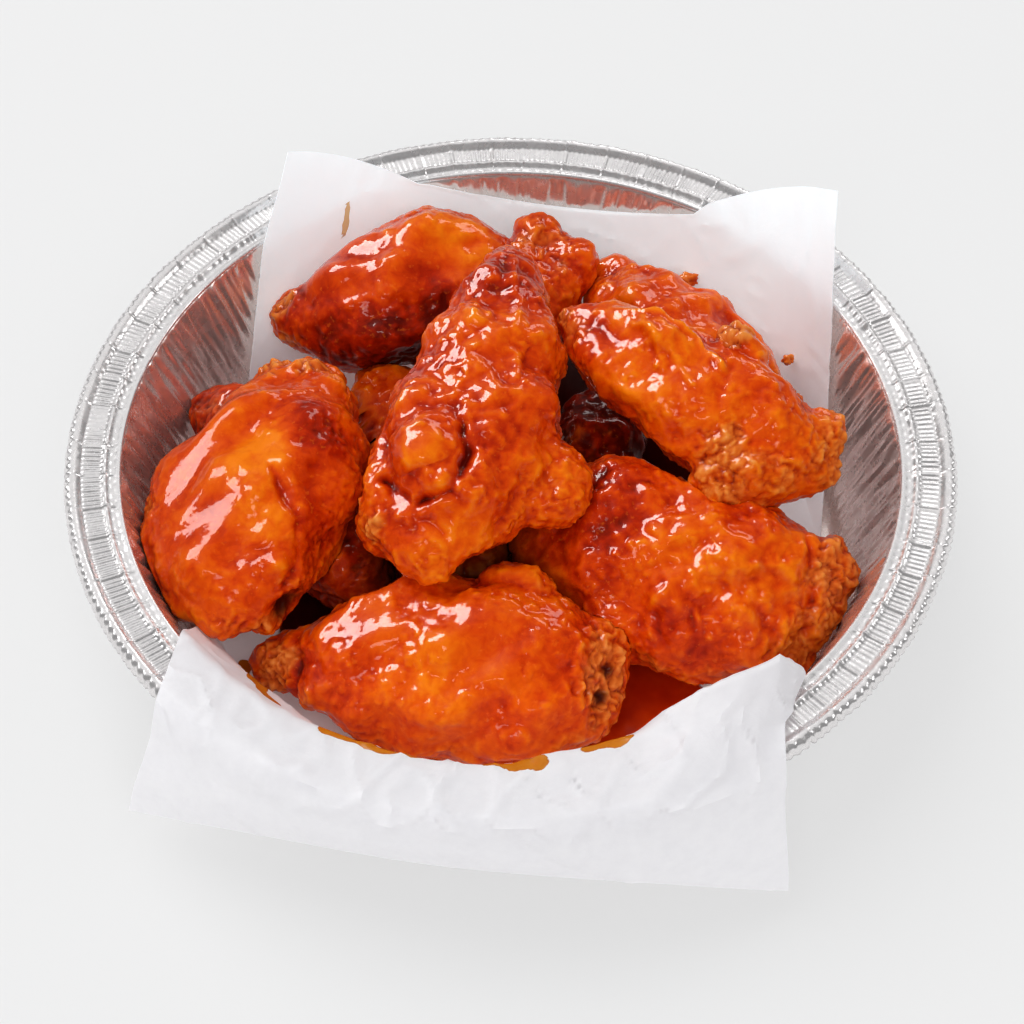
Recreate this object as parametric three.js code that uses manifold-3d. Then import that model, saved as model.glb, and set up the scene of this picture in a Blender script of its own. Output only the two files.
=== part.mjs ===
// A serving of fried, sauced chicken wings in a round foil pan that is lined with a strip of deli paper.
// Millimetres, +Z up. The origin is the centre of the pan's flat base, on the surface that it stands on.
// The paper's long flap hangs over the rim on the -Y side, and its back corners stand out over the rim.

import * as THREE from "three";
import { mergeVertices } from "three/addons/utils/BufferGeometryUtils.js";
import Module from "manifold-3d";

const wasm = await Module();
wasm.setup();

// Driving dimensions

const RIM_RADIUS = 108.6; // an 8 inch foil pan, over its rolled edge
const PAN_HEIGHT = 42.8;
const BEAD_RADIUS = 94.5; // the bead where the wall meets the flange
const BEAD_HEIGHT = 40.3;
const BASE_RADIUS = 83;
const FOIL = 0.8; // the foil stands thicker than the real 0.1 mm, to be a solid
const PAN_STEPS = 60; // facets round the pan
const CRIMP = 0.35; // how far the crimped edge goes in and out

const PAPER = 0.5; // the paper's thickness, also stouter than the real sheet
const PAPER_TURN = THREE.MathUtils.degToRad(-9); // the strip lies askew in the pan
const PAPER_COLUMNS = 14;
const PAPER_ROWS = 25;
const RIDGE_COLUMN = 0.955; // the column at the standing crease's tip, across the strip
// The strip's left and right edges from its middle line, from the flap's foot to the back.
const PAPER_LEFT = [-73.5, -66.5, -65, -67, -73, -77, -75, -70.5];
const PAPER_RIGHT = [78.3, 74, 72.3, 76, 76, 79, 75, 72];
const FLAP_MIDDLE = 30; // the flap's foot over the table, at its middle
const FLAP_DROOP = 21; // how much lower it hangs at its corners
// From the strip's left edge to the ridge column: the height of the crease along the front wall, how far
// it stands in from the wall, and how far the strip reaches in past the bead before it bends down.
const CREASE_HEIGHT = [24, 24, 21, 16, 12, 11, 12, 21, 40, 48.5, 50];
const CREASE_INSET = [4, 6, 6, 4.3, 1.5, 0.2, 2.6, 5.2, 7.6, 6, 2];
const BEND_INSET = [0, 0, 0.6, 1.6, 1.6, 1.6, 2.2, 5, 5.5, 3, 0];
// Past the ridge the crease drops to a corner that lies out over the bead.
const CORNER_HEIGHT = 42;
const CORNER_REACH = 4.6;
const BACK_CLIMB = 32; // how far up the back wall the strip reaches at its middle
const BACK_RISE = 0.0058; // how much higher the strip reaches at the sides, per square millimetre

const GAP = 0.3; // the clearance between things that touch
const PAPER_FLOOR = FOIL + GAP + PAPER / 2 + 0.1;
const UPWARD = new THREE.Vector3(0, 0, 1);

// Relief of the crust: a sum of plane waves, the same for every wing but for its seed.
const RELIEF_WAVES = 9;
const RELIEF_LONGEST = 26;
const RELIEF_SHORTEST = 9;

// The wings. Each is a body along a line between its two tips, with its broad side facing up along "face",
// a half width to the left and right of that line at seven stations, and a half depth at the same stations.
// Its lobes are knuckles, flaps and crags: [place along 0 to 1, across, above the line], [three radii].
const WINGS = {
  wing_top: {
    tips: [[0, 54, 53], [-20, -41, 38]],
    face: [-0.1, -0.5, 1],
    left: [12, 15, 20, 22, 24, 19, 11],
    right: [10, 10, 12.5, 17, 20, 21, 18],
    depth: [10, 12, 13, 14, 14, 13, 10],
    arch: 3,
    seed: 3,
    lobes: [
      [[0.68, -6, 10], [12, 10, 8]],
      [[0.67, 22, -1], [11, 12, 8]],
      [[0.56, 8, 12], [7, 6, 5]],
      [[0.84, -12, -3], [8, 9, 8]],
    ],
  },
  wing_left: {
    tips: [[-54, 31, 34], [-68, -48.5, 27.5]],
    face: [-0.25, -0.25, 1],
    left: [14, 21, 25.5, 25, 21, 17, 14],
    right: [8, 12, 18, 24, 27, 26, 20],
    depth: [9, 13, 16, 17, 16, 14, 10],
    arch: 2,
    seed: 11,
    lobes: [
      [[0.08, 2, 1], [6, 12, 6]],
      [[0.84, 6, -4], [8, 9, 7]],
    ],
  },
  wing_right: {
    tips: [[12, 34, 50], [79, -9, 37]],
    face: [0.15, -0.45, 1],
    left: [8, 11, 12, 13, 14, 15, 13],
    right: [8, 11.5, 15, 17.5, 19.5, 20.5, 16],
    depth: [9, 12, 13, 14, 13, 12, 10],
    arch: 2,
    seed: 17,
    lobes: [
      [[0.56, 13, 6], [7, 6, 6]],
      [[0.72, -16, 4], [8, 7, 6]],
      [[0.88, 5, 1], [7, 8, 6]],
    ],
  },
  wing_front: {
    tips: [[-59, -47, 14], [28, -52, 16]],
    face: [0, -0.45, 1],
    left: [10, 15, 20, 22, 22, 20, 15],
    right: [9, 14, 19, 22, 23.5, 25, 25],
    depth: [9, 12, 14, 15, 15, 14, 11],
    arch: 3,
    seed: 23,
    lobes: [
      [[0.05, 1, -2], [8, 8, 7]],
      [[0.9, 4, 0], [8, 10, 8]],
      [[0.7, 20, 4], [9, 6, 6]],
    ],
  },
  wing_front_right: {
    tips: [[-1, -14, 21], [81, -36, 21]],
    face: [0.1, -0.7, 1],
    left: [18, 25, 25, 22, 20, 20.5, 18],
    right: [15, 20, 23, 24.5, 24.5, 24, 18],
    depth: [9, 12, 14, 14, 14, 13, 10],
    arch: 3,
    seed: 31,
    lobes: [
      [[0.92, 8, -2], [7, 9, 8]],
      [[0.3, -22, -3], [10, 7, 6]],
      [[0.86, -16, -1], [8, 8, 6]],
    ],
  },
  wing_back_left: {
    tips: [[-61, 53, 22], [4, 70, 33]],
    face: [-0.1, -0.45, 1],
    left: [9, 13, 16.5, 17.5, 20, 17, 13],
    right: [11, 16, 19, 20, 19, 17, 12],
    depth: [10, 13, 15, 15, 14, 13, 10],
    arch: 4,
    seed: 41,
    lobes: [[[0.08, 3, -1], [7, 9, 7]]],
  },
  wing_back: {
    tips: [[12, 80, 33], [-3, 40, 17]],
    face: [0, 0.1, 1],
    left: [11, 13, 14, 14, 13, 12, 10],
    right: [11, 13, 14, 14, 13, 12, 10],
    depth: [8, 10, 12, 12, 11, 10, 8],
    arch: 0,
    seed: 47,
    lobes: [
      [[0.08, -3, 4], [6, 7, 5]],
      [[0.2, 9, 3], [8, 6, 6]],
    ],
  },
  wing_back_right: {
    tips: [[21, 66, 25], [70, 30, 24]],
    face: [0.15, 0.1, 1],
    left: [12, 13, 13, 12, 12, 11, 9],
    right: [12, 15, 17, 18, 17, 15, 12],
    depth: [9, 12, 13, 13, 12, 11, 9],
    arch: 2,
    seed: 53,
    lobes: [[[0.05, 6, 1], [7, 7, 7]]],
  },
  wing_low_left: {
    tips: [[-81, 33, 20], [-30, -30, 15]],
    face: [0, 0, 1],
    left: [11, 14, 16, 17, 16, 14, 11],
    right: [11, 14, 16, 17, 16, 14, 11],
    depth: [9, 11, 12, 12, 12, 11, 9],
    arch: 0,
    seed: 59,
    lobes: [],
  },
  wing_low_middle: {
    tips: [[-38, 44, 18], [-6, -28, 16]],
    face: [0, 0, 1],
    left: [10, 12, 13, 13, 14, 14, 12],
    right: [10, 12, 13, 13, 14, 14, 12],
    depth: [9, 11, 12, 12, 12, 11, 9],
    arch: 0,
    seed: 61,
    lobes: [],
  },
  wing_low_right: {
    tips: [[6, -14, 15], [30, 38, 16]],
    face: [0, 0, 1],
    left: [10, 12, 13, 13, 13, 12, 10],
    right: [10, 12, 13, 13, 13, 12, 10],
    depth: [9, 11, 12, 12, 12, 11, 9],
    arch: 0,
    seed: 67,
    lobes: [],
  },
};
const WING_RINGS = 15;
const WING_SIDES = 14;
const WING_BLUNTNESS = 3.2; // how square the ends close: 2 is an ellipse
const SECTION_POWER = 2.3; // how square the cross-section is: 2 is an ellipse
const RELIEF = 1.0; // the height of the crust's waves
const FINE_LOBE = 10; // lobes larger than this are more finely faceted

// Solids and meshes

function solidOf(geometry) {
  const bare = geometry.clone();
  bare.deleteAttribute("normal");
  bare.deleteAttribute("uv");
  const merged = mergeVertices(bare, 1e-4);
  return new wasm.Manifold(
    new wasm.Mesh({
      numProp: 3,
      vertProperties: new Float32Array(merged.attributes.position.array),
      triVerts: new Uint32Array(merged.index.array),
    }),
  );
}

function geometryOf(solid) {
  const mesh = solid.getMesh();
  const geometry = new THREE.BufferGeometry();
  geometry.setAttribute("position", new THREE.BufferAttribute(mesh.vertProperties, 3));
  geometry.setIndex(new THREE.BufferAttribute(mesh.triVerts, 1));
  geometry.computeVertexNormals();
  return geometry;
}

// The largest of a solid's separate bodies: a cut can leave a loose scrap.
function wholePiece(solid) {
  return solid.decompose().reduce((a, b) => (a.volume() > b.volume() ? a : b));
}

// A closed grid of rows of points, each row a loop, closed at both ends by a pole.
function closedLoops(rows, poles) {
  const sides = rows[0].length;
  const points = [...rows.flat(), ...poles];
  const faces = [];
  for (let i = 0; i + 1 < rows.length; i++)
    for (let j = 0; j < sides; j++) {
      const [a, b] = [i * sides + j, i * sides + ((j + 1) % sides)];
      faces.push(a, b, a + sides, b, b + sides, a + sides);
    }
  const [first, last] = [points.length - 2, points.length - 1];
  const end = (rows.length - 1) * sides;
  for (let j = 0; j < sides; j++) {
    const next = (j + 1) % sides;
    faces.push(first, next, j, last, end + j, end + next);
  }
  return meshOfPoints(points, faces);
}

function meshOfPoints(points, faces) {
  const geometry = new THREE.BufferGeometry();
  geometry.setAttribute(
    "position",
    new THREE.Float32BufferAttribute(points.flatMap((p) => [p.x, p.y, p.z]), 3),
  );
  geometry.setIndex(faces);
  return geometry;
}

// Wings

// A cubic through evenly spaced stations (Catmull and Rom's), at share u of the way along them.
function along(stations, u) {
  const place = THREE.MathUtils.clamp(u, 0, 1) * (stations.length - 1);
  const i = Math.min(Math.floor(place), stations.length - 2);
  const t = place - i;
  const [b, c] = [stations[i], stations[i + 1]];
  const [a, d] = [stations[i - 1] ?? b, stations[i + 2] ?? c];
  return b + 0.5 * t * (c - a + t * (2 * a - 5 * b + 4 * c - d + t * (3 * (b - c) + d - a)));
}

// The crust's relief at a point: plane waves whose directions, lengths and phases are drawn from the seed.
function reliefOf(seed) {
  let state = seed;
  const draw = () => {
    state = (state * 1664525 + 1013904223) % 4294967296;
    return state / 4294967296;
  };
  const waves = Array.from({ length: RELIEF_WAVES }, () => {
    const z = 2 * draw() - 1;
    const turn = 2 * Math.PI * draw();
    const length = RELIEF_SHORTEST + (RELIEF_LONGEST - RELIEF_SHORTEST) * draw();
    const flat = Math.sqrt(1 - z * z);
    const direction = new THREE.Vector3(flat * Math.cos(turn), flat * Math.sin(turn), z);
    return { wave: direction.multiplyScalar((2 * Math.PI) / length), phase: 2 * Math.PI * draw() };
  });
  const share = RELIEF / Math.sqrt(RELIEF_WAVES / 2);
  return (p) => share * waves.reduce((sum, w) => sum + Math.sin(w.wave.dot(p) + w.phase), 0);
}

// A wing's own axes: from tip to tip, to the left of that way, and up through the broad side.
function axesOf({ tips, face }) {
  const start = new THREE.Vector3(...tips[0]);
  const way = new THREE.Vector3(...tips[1]).sub(start);
  const forward = way.clone().normalize();
  const left = new THREE.Vector3(...face).cross(forward).normalize();
  return { start, way, forward, left, up: forward.clone().cross(left) };
}

// The body: rings round the line from tip to tip, which arches up by "arch" at its middle.
function bodyOf(wing, grow) {
  const { start, way, forward, left, up } = axesOf(wing);
  const relief = reliefOf(wing.seed);
  const rise = (u) => wing.arch * 4 * u * (1 - u);
  const line = (u) => start.clone().addScaledVector(way, u).addScaledVector(up, rise(u));
  const power = (x) => Math.sign(x) * Math.abs(x) ** (2 / SECTION_POWER);
  const rows = [];
  for (let i = 1; i < WING_RINGS; i++) {
    const u = (1 - Math.cos((Math.PI * i) / WING_RINGS)) / 2;
    const close = (1 - Math.abs(2 * u - 1) ** WING_BLUNTNESS) ** 0.5;
    const row = [];
    for (let j = 0; j < WING_SIDES; j++) {
      const angle = (2 * Math.PI * j) / WING_SIDES;
      const side = Math.cos(angle) > 0 ? wing.left : wing.right;
      const across = power(Math.cos(angle)) * along(side, u);
      const above = power(Math.sin(angle)) * along(wing.depth, u);
      const out = left.clone().multiplyScalar(across).addScaledVector(up, above).multiplyScalar(close);
      const p = line(u).add(out);
      row.push(p.addScaledVector(out.normalize(), relief(p) * close + grow));
    }
    rows.push(row);
  }
  const poles = [line(0).addScaledVector(forward, -grow), line(1).addScaledVector(forward, grow)];
  return solidOf(closedLoops(rows, poles));
}

function lobeOf(wing, [[u, across, above], radii], grow) {
  const { start, way, forward, left, up } = axesOf(wing);
  const relief = reliefOf(wing.seed + 1);
  const middle = start.clone().addScaledVector(way, u);
  const centre = middle.addScaledVector(left, across).addScaledVector(up, above);
  const ball = new THREE.IcosahedronGeometry(1, Math.max(...radii) > FINE_LOBE ? 2 : 1);
  ball.scale(radii[0] + grow, radii[1] + grow, radii[2] + grow);
  ball.applyMatrix4(new THREE.Matrix4().makeBasis(forward, left, up).setPosition(centre));
  const position = ball.attributes.position;
  const p = new THREE.Vector3();
  for (let i = 0; i < position.count; i++) {
    p.fromBufferAttribute(position, i);
    const out = p.clone().sub(centre).normalize();
    p.addScaledVector(out, 0.5 * relief(p));
    position.setXYZ(i, p.x, p.y, p.z);
  }
  return solidOf(ball);
}

function wingOf(wing, grow = 0) {
  return wing.lobes.reduce((solid, lobe) => solid.add(lobeOf(wing, lobe, grow)), bodyOf(wing, grow));
}

// The pan: one profile turned round the axis, its edge crimped facet by facet.

function panGeometry() {
  const wallTop = BEAD_RADIUS + 0.6;
  const outer = [
    [0, 0],
    [BASE_RADIUS - 1, 0],
    [BASE_RADIUS + FOIL, 1.2],
    [wallTop + 0.3, BEAD_HEIGHT - 1],
    [RIM_RADIUS - 4, PAN_HEIGHT - 2.6],
    [RIM_RADIUS - 1.2, PAN_HEIGHT - 4],
    [RIM_RADIUS, PAN_HEIGHT - 3.2],
    [RIM_RADIUS - 0.4, PAN_HEIGHT - 1.2],
    [RIM_RADIUS - 2.4, PAN_HEIGHT],
    [RIM_RADIUS - 4, PAN_HEIGHT - 1.5],
    [BEAD_RADIUS + 4.6, PAN_HEIGHT - 1.9],
    [BEAD_RADIUS + 4, PAN_HEIGHT - 1],
    [BEAD_RADIUS + 3.2, PAN_HEIGHT - 1.9],
    [BEAD_RADIUS + 0.7, BEAD_HEIGHT + 0.3],
    [BEAD_RADIUS, BEAD_HEIGHT - 0.7],
    [BASE_RADIUS + 0.4, FOIL + 1],
    [BASE_RADIUS - 1.2, FOIL],
    [0, FOIL],
  ];
  const geometry = new THREE.LatheGeometry(outer.map(([r, z]) => new THREE.Vector2(r, z)), PAN_STEPS);
  geometry.rotateX(Math.PI / 2);
  const position = geometry.attributes.position;
  for (let i = 0; i < position.count; i++) {
    const [x, y] = [position.getX(i), position.getY(i)];
    const r = Math.hypot(x, y);
    if (r < RIM_RADIUS - 2) continue;
    const step = Math.round((Math.atan2(y, x) / (2 * Math.PI)) * PAN_STEPS);
    const crimped = (r + (step % 2 === 0 ? -CRIMP : 0)) / r;
    position.setXY(i, x * crimped, y * crimped);
  }
  return geometry;
}

// The paper: columns across the strip, each a line from the flap's foot, over the front rim, down the wall,
// across the base and up the back wall. Places along a column are [distance to the back, height].

const CHORD_FLOOR = 10; // the shortest half chord that a column spans

// Half the chord that a line at distance s from the middle cuts from a circle.
const chord = (radius, s) => Math.max(Math.sqrt(Math.max(radius * radius - s * s, 0)), CHORD_FLOOR);

// The radius that the paper keeps inside the wall at a height.
const wallRadius = (z) => BASE_RADIUS + ((BEAD_RADIUS - BASE_RADIUS) * z) / BEAD_HEIGHT - 1.6;

const between = ([a, b], [c, d], share) => [a + (c - a) * share, b + (d - b) * share];

// The distance from the strip's middle line of the column at share c, at each of the strip's rows.
function spreadOf(c, row, spread) {
  const v = row / (PAPER_ROWS - 1);
  return THREE.MathUtils.lerp(along(PAPER_LEFT, v) - spread, along(PAPER_RIGHT, v) + spread, c);
}

// The column at share c of the way across, as points of the part's frame from the flap's foot to the back.
function columnOf(c, spread) {
  const places = [];
  const s = () => spreadOf(c, places.length, spread);
  const add = (t, z) => places.push([s(), t, z]);
  const last = () => places[places.length - 1].slice(1);

  const rim = chord(RIM_RADIUS + 1.2, spreadOf(c, 4, spread));
  const foot = [-(rim + 1.4 + 11 * Math.abs(s() / 80) ** 3), FLAP_MIDDLE - FLAP_DROOP * (s() / 76) ** 2];
  for (const share of [0, 0.25, 0.5, 0.75]) {
    const [t, z] = between(foot, [-rim, PAN_HEIGHT - 2], share);
    add(t - 1.2 * Math.sin(Math.PI * share), z);
  }
  add(-rim, PAN_HEIGHT - 1.5);
  add(-chord(RIM_RADIUS - 2.4, s()), PAN_HEIGHT + 0.9);
  const crest = last();

  // The crease: near the wall at the left and in the middle, a ridge that climbs over the rim at the right.
  const place = Math.min(c / RIDGE_COLUMN, 1);
  const past = Math.max(0, (c - RIDGE_COLUMN) / (1 - RIDGE_COLUMN));
  const creaseHeight = THREE.MathUtils.lerp(along(CREASE_HEIGHT, place), CORNER_HEIGHT, past);
  const reach = chord(wallRadius(Math.min(creaseHeight, BEAD_HEIGHT - 1)), spreadOf(c, 10, spread));
  const creaseInset = THREE.MathUtils.lerp(along(CREASE_INSET, place), -CORNER_REACH, past);
  const crease = [creaseInset - reach, creaseHeight];
  const raised = THREE.MathUtils.smoothstep(c, 0.74, 0.9);
  const flange = [-chord(RIM_RADIUS - 7, s()), PAN_HEIGHT + 0.4];
  add(...between(flange, between(crest, crease, 0.3), raised));
  const bend = [-(chord(BEAD_RADIUS - 0.7, s()) - along(BEND_INSET, place)), BEAD_HEIGHT + 1.1];
  add(...between(bend, between(crest, crease, 0.55), raised));
  const edge = last();
  add(...between(edge, crease, 0.35));
  add(...between(edge, crease, 0.7));
  add(...crease);

  const [front, back] = [12, 17].map((row) => chord(BASE_RADIUS - 4.1, spreadOf(c, row, spread)));
  const [downT, downZ] = between(crease, [-front, PAPER_FLOOR], THREE.MathUtils.lerp(0.6, 0.2, past));
  add(downT + 3 * past, downZ);
  for (const share of [0, 0.2, 0.4, 0.6, 0.8, 1]) {
    add(THREE.MathUtils.lerp(-front, back, share), PAPER_FLOOR);
  }

  const climb = BACK_CLIMB + BACK_RISE * s() ** 2;
  const onWall = Math.min(climb, BEAD_HEIGHT + 1);
  for (const share of [0.12, 0.4, 0.7, 1]) {
    const z = PAPER_FLOOR + share * (onWall - PAPER_FLOOR);
    add(chord(wallRadius(z), s()), z);
  }
  const top = last();
  const beyond = Math.max(0.8, 0.78 * (Math.abs(s()) - 36) + 0.03 * s());
  for (const share of [0.33, 0.67, 1]) add(top[0] + 0.7 * beyond * share, top[1] + 0.7 * beyond * share);
  return places.map(([x, y, z]) => new THREE.Vector3(x, y, z).applyAxisAngle(UPWARD, PAPER_TURN));
}

// A thin closed solid: the same grid of triangles on both faces, and a strip round the edge.
function paperSolid(thickness, spread = 0) {
  const shares = Array.from({ length: PAPER_COLUMNS + 1 }, (_, i) => i / PAPER_COLUMNS);
  shares[PAPER_COLUMNS - 1] = RIDGE_COLUMN;
  const grid = shares.map((c) => columnOf(c, spread));
  const [columns, rows] = [grid.length, PAPER_ROWS];
  const within = (n, count) => THREE.MathUtils.clamp(n, 0, count - 1);
  const at = (i, j) => grid[within(i, columns)][within(j, rows)];
  const normal = (i, j) => {
    const acrossWay = at(i + 1, j).clone().sub(at(i - 1, j));
    const alongWay = at(i, j + 1).clone().sub(at(i, j - 1));
    return acrossWay.cross(alongWay).normalize();
  };
  const points = [];
  for (const side of [0.5, -0.5])
    for (let i = 0; i < columns; i++)
      for (let j = 0; j < rows; j++)
        points.push(grid[i][j].clone().addScaledVector(normal(i, j), side * thickness));
  const index = (side, i, j) => (side * columns + i) * rows + j;
  const faces = [];
  for (let i = 0; i + 1 < columns; i++)
    for (let j = 0; j + 1 < rows; j++) {
      const [a, b, c, d] = [index(0, i, j), index(0, i + 1, j), index(0, i + 1, j + 1), index(0, i, j + 1)];
      faces.push(a, b, c, a, c, d);
      const [e, f, g, h] = [index(1, i, j), index(1, i + 1, j), index(1, i + 1, j + 1), index(1, i, j + 1)];
      faces.push(e, g, f, e, h, g);
    }
  const edge = [];
  for (let i = 0; i < columns; i++) edge.push([i, 0]);
  for (let j = 1; j < rows; j++) edge.push([columns - 1, j]);
  for (let i = columns - 2; i >= 0; i--) edge.push([i, rows - 1]);
  for (let j = rows - 2; j > 0; j--) edge.push([0, j]);
  edge.forEach(([i, j], n) => {
    const [k, l] = edge[(n + 1) % edge.length];
    const [a, b, c, d] = [index(0, i, j), index(0, k, l), index(1, k, l), index(1, i, j)];
    faces.push(a, c, b, a, d, c);
  });
  return solidOf(meshOfPoints(points, faces));
}

// The object

const serving = new THREE.Group();

function addPiece(name, geometry, { color, roughness, metalness }) {
  const mesh = new THREE.Mesh(geometry, new THREE.MeshStandardMaterial({ color, roughness, metalness }));
  mesh.name = name;
  serving.add(mesh);
}

const FOIL_LOOK = { color: "#c9c8cb", roughness: 0.25, metalness: 1 };
const PAPER_LOOK = { color: "#ededf1", roughness: 0.7, metalness: 0 };
const WING_LOOK = { color: "#d9480a", roughness: 0.15, metalness: 0 };

addPiece("foil_pan", panGeometry(), FOIL_LOOK);
addPiece("deli_paper", geometryOf(paperSolid(PAPER)), PAPER_LOOK);

// Each wing gives way to the paper, to the pan and to the wings before it in the list, by the clearance.
const panRoom = solidOf(panGeometry());
const taken = [paperSolid(PAPER + 2 * GAP, GAP)];
for (const [name, wing] of Object.entries(WINGS)) {
  const shaped = taken.reduce((solid, other) => solid.subtract(other), wingOf(wing)).subtract(panRoom);
  addPiece(name, geometryOf(wholePiece(shaped)), WING_LOOK);
  taken.push(wingOf(wing, GAP));
}

export default serving;
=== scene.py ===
"""A serving of sauced fried chicken wings on a strip of deli paper in a round foil pan.

Shapes are worked out in millimetres with numpy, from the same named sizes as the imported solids, and are
put into their meshes in metres. Every piece rides on the one body, "root".
"""

import math

import bpy
import numpy as np
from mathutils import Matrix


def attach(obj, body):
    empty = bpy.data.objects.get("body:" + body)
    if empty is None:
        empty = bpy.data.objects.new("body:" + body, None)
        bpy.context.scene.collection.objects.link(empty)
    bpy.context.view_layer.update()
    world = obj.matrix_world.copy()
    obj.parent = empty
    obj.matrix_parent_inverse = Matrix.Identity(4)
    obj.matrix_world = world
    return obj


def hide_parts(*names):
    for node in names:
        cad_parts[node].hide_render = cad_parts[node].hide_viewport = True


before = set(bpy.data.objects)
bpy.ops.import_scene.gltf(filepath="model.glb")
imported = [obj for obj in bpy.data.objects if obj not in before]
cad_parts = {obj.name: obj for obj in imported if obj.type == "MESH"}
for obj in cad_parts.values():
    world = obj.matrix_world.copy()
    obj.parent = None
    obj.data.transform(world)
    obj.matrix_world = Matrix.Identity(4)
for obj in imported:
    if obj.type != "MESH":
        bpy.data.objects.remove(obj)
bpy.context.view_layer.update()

MM = 0.001
TURN = 2 * math.pi

# The pan: profiles are (radius, height) pairs.

RIM_RADIUS = 108.6
PAN_HEIGHT = 42.8
BEAD_RADIUS = 94.5
BEAD_HEIGHT = 40.3
BASE_RADIUS = 83.0
FOIL = 0.8
RIM_TOP = [
    (95.3, 39.2), (94.6, 39.8), (94.5, 40.2), (94.8, 40.7), (95.4, 40.8), (96.1, 40.3), (97.3, 40.4),
    (97.9, 41.1), (98.4, 41.5), (98.9, 41.2), (99.4, 40.8), (103.9, 41.05), (104.6, 41.8), (105.5, 42.4),
    (106.4, 42.45), (107.3, 41.9), (107.8, 40.9), (108.0, 39.7), (107.9, 38.9),
]
RIM_UNDER = [
    (107.3, 39.0), (107.2, 40.5), (106.3, 41.6), (105.3, 41.4), (103.9, 40.4), (99.0, 40.1), (96.0, 39.7),
]
WALL_INNER = [(94.9, 39.9), (94.4, 39.1), (83.6, 2.2), (83.0, 1.3), (82.0, 0.85), (80.5, 0.8)]
WALL_OUTER = [(80.5, 0.02), (82.4, 0.04), (83.6, 0.5), (84.2, 1.4), (95.0, 39.1), (95.4, 39.9)]
WALL_GUIDE = [(94.2, 39.9), (83.2, 2.2), (80, 0.9)]
BASE_RINGS = [72, 60, 48, 36, 24, 12, 4]
BASE_TOP, BASE_UNDER = 0.8, 0.02
RIM_SIDES, RIM_SPACING = 2600, 0.65
WALL_SIDES, INNER_SPACING, OUTER_SPACING = 1400, 1.3, 2.4
GUIDE_SIDES = 360
RIBS = 470
CRIMPS = 62
RIB_HEIGHT, INNER_RIB_HEIGHT, FOLD_HEIGHT, KNURL_DEPTH = 0.22, 0.14, 0.36, 0.2
CREASE_DEPTH = 0.68

# The paper. Its rows are numbered from the flap's foot at the front to the top edge at the back; its columns
# are shares of the way across, from left to right.

PAPER = 0.5
SHEET = 0.22  # the paper's shown thickness
PAPER_TURN = math.radians(-9)
PAPER_ROWS = 25
PAPER_WIDTH = 150
RIDGE_COLUMN = 0.955  # past this share of the way across, the strip is flat from its ridge to its edge
STANDING = (0.74, 0.9)  # between these shares it leaves the flange and stands up in its fold
BEND_ROW, CREASE_ROW = 6, 10
PAPER_LEFT = [-73.5, -66.5, -65, -67, -73, -77, -75, -70.5]
PAPER_RIGHT = [78.3, 74, 72.3, 76, 76, 79, 75, 72]
FLAP_MIDDLE = 30.0
FLAP_DROOP = 21.0
FLAP_FLARE = 11.0
OFF_RIM = 1.2  # the strip's way clear of the pan's edge
CREASE_HEIGHT = [24, 24, 21, 16, 12, 11, 12, 21, 40, 48.5, 50]
CREASE_INSET = [4, 6, 6, 4.3, 1.5, 0.2, 2.6, 5.2, 7.6, 6, 2]
BEND_INSET = [0, 0, 0.6, 1.6, 1.6, 1.6, 2.2, 5, 5.5, 3, 0]
CORNER_HEIGHT = 42.0
CORNER_REACH = 4.6
BACK_CLIMB = 32.0
BACK_RISE = 0.0058
GAP = 0.3
PAPER_FLOOR = FOIL + GAP + PAPER / 2 + 0.1

# Where sauce has soaked the paper: places in order, half width, how dark from 0 to 1; the three darkest,
# under the heap, are partly soaked sauce and partly painted shade.
STAINS = [
    ([(-66, -40, 2), (-61, -56, 22), (-57, -65, 30), (-53.8, -68, 30.5)], 2.4, 0.45),
    ([(-40, -82.5, 41.5), (-36, -84, 41.8), (-31.8, -85.6, 41.8), (-26, -87.6, 41.8)], 2.2, 0.45),
    ([(-28, -86.4, 41.8), (-20.8, -88, 41.7)], 2.0, 0.45),
    ([(-5, -90, 41.7), (1, -91.4, 42), (6, -90.8, 42.1)], 2.2, 0.45),
    ([(17, -87, 42), (22.8, -85, 41.9), (25.5, -83, 41.8)], 2.3, 0.45),
    ([(-43.6, 81.5, 40.3), (-44.3, 79.6, 35.9), (-45.5, 77.5, 31.6)], 1.1, 0.0),
    # Painted shade, partly soaked sauce: near-black soaks on the paper under the heap, in the gaps between
    # the wings.
    ([(-14, 0, 1), (12, 2, 1)], 44.0, 1.0),
    ([(-45, -24, 1), (-36, -34, 1)], 14.0, 1.0),
    ([(14, 52, 1), (34, 22, 1)], 22.0, 1.0),
]

# Pools of sauce on the paper: middle, half widths, turn, depth, and what draws the outline.
POOLS = {
    "pool_under_heap": ((4, -2, 2), (46, 40), 0.1, 0.3, 3),
    "pool_front_right": ((29, -53, 2), (23, 15), 0.1, 0.5, 5),
    "pool_front_left": ((-30, -66, 3), (14, 4.5), -0.2, 0.4, 9),
    "pool_front": ((2, -70, 3), (12, 4), 0.0, 0.4, 13),
}
POOL_RINGS, POOL_SIDES = 26, 120
POOL_DROP = 30  # how far above its place a pool starts to fall

# Loose crumbs against the paper behind the wings: middle, radii, and what draws their shape.
CRUMBS = {
    "crumb_back": ((48.3, 71.5, 23.4), (2.3, 1.8, 1.9), 971),
    "crumb_right": ((73.0, 44.2, 21.2), (1.4, 1.2, 1.6), 975),
}
CRUMB_RINGS, CRUMB_SIDES = 20, 30

# The wings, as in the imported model: tips, the way the broad side faces, half widths left and right of the
# line between the tips, half depths, the line's arch, the relief's seed, and lobes
# [share along, across, above], [three radii].

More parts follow.
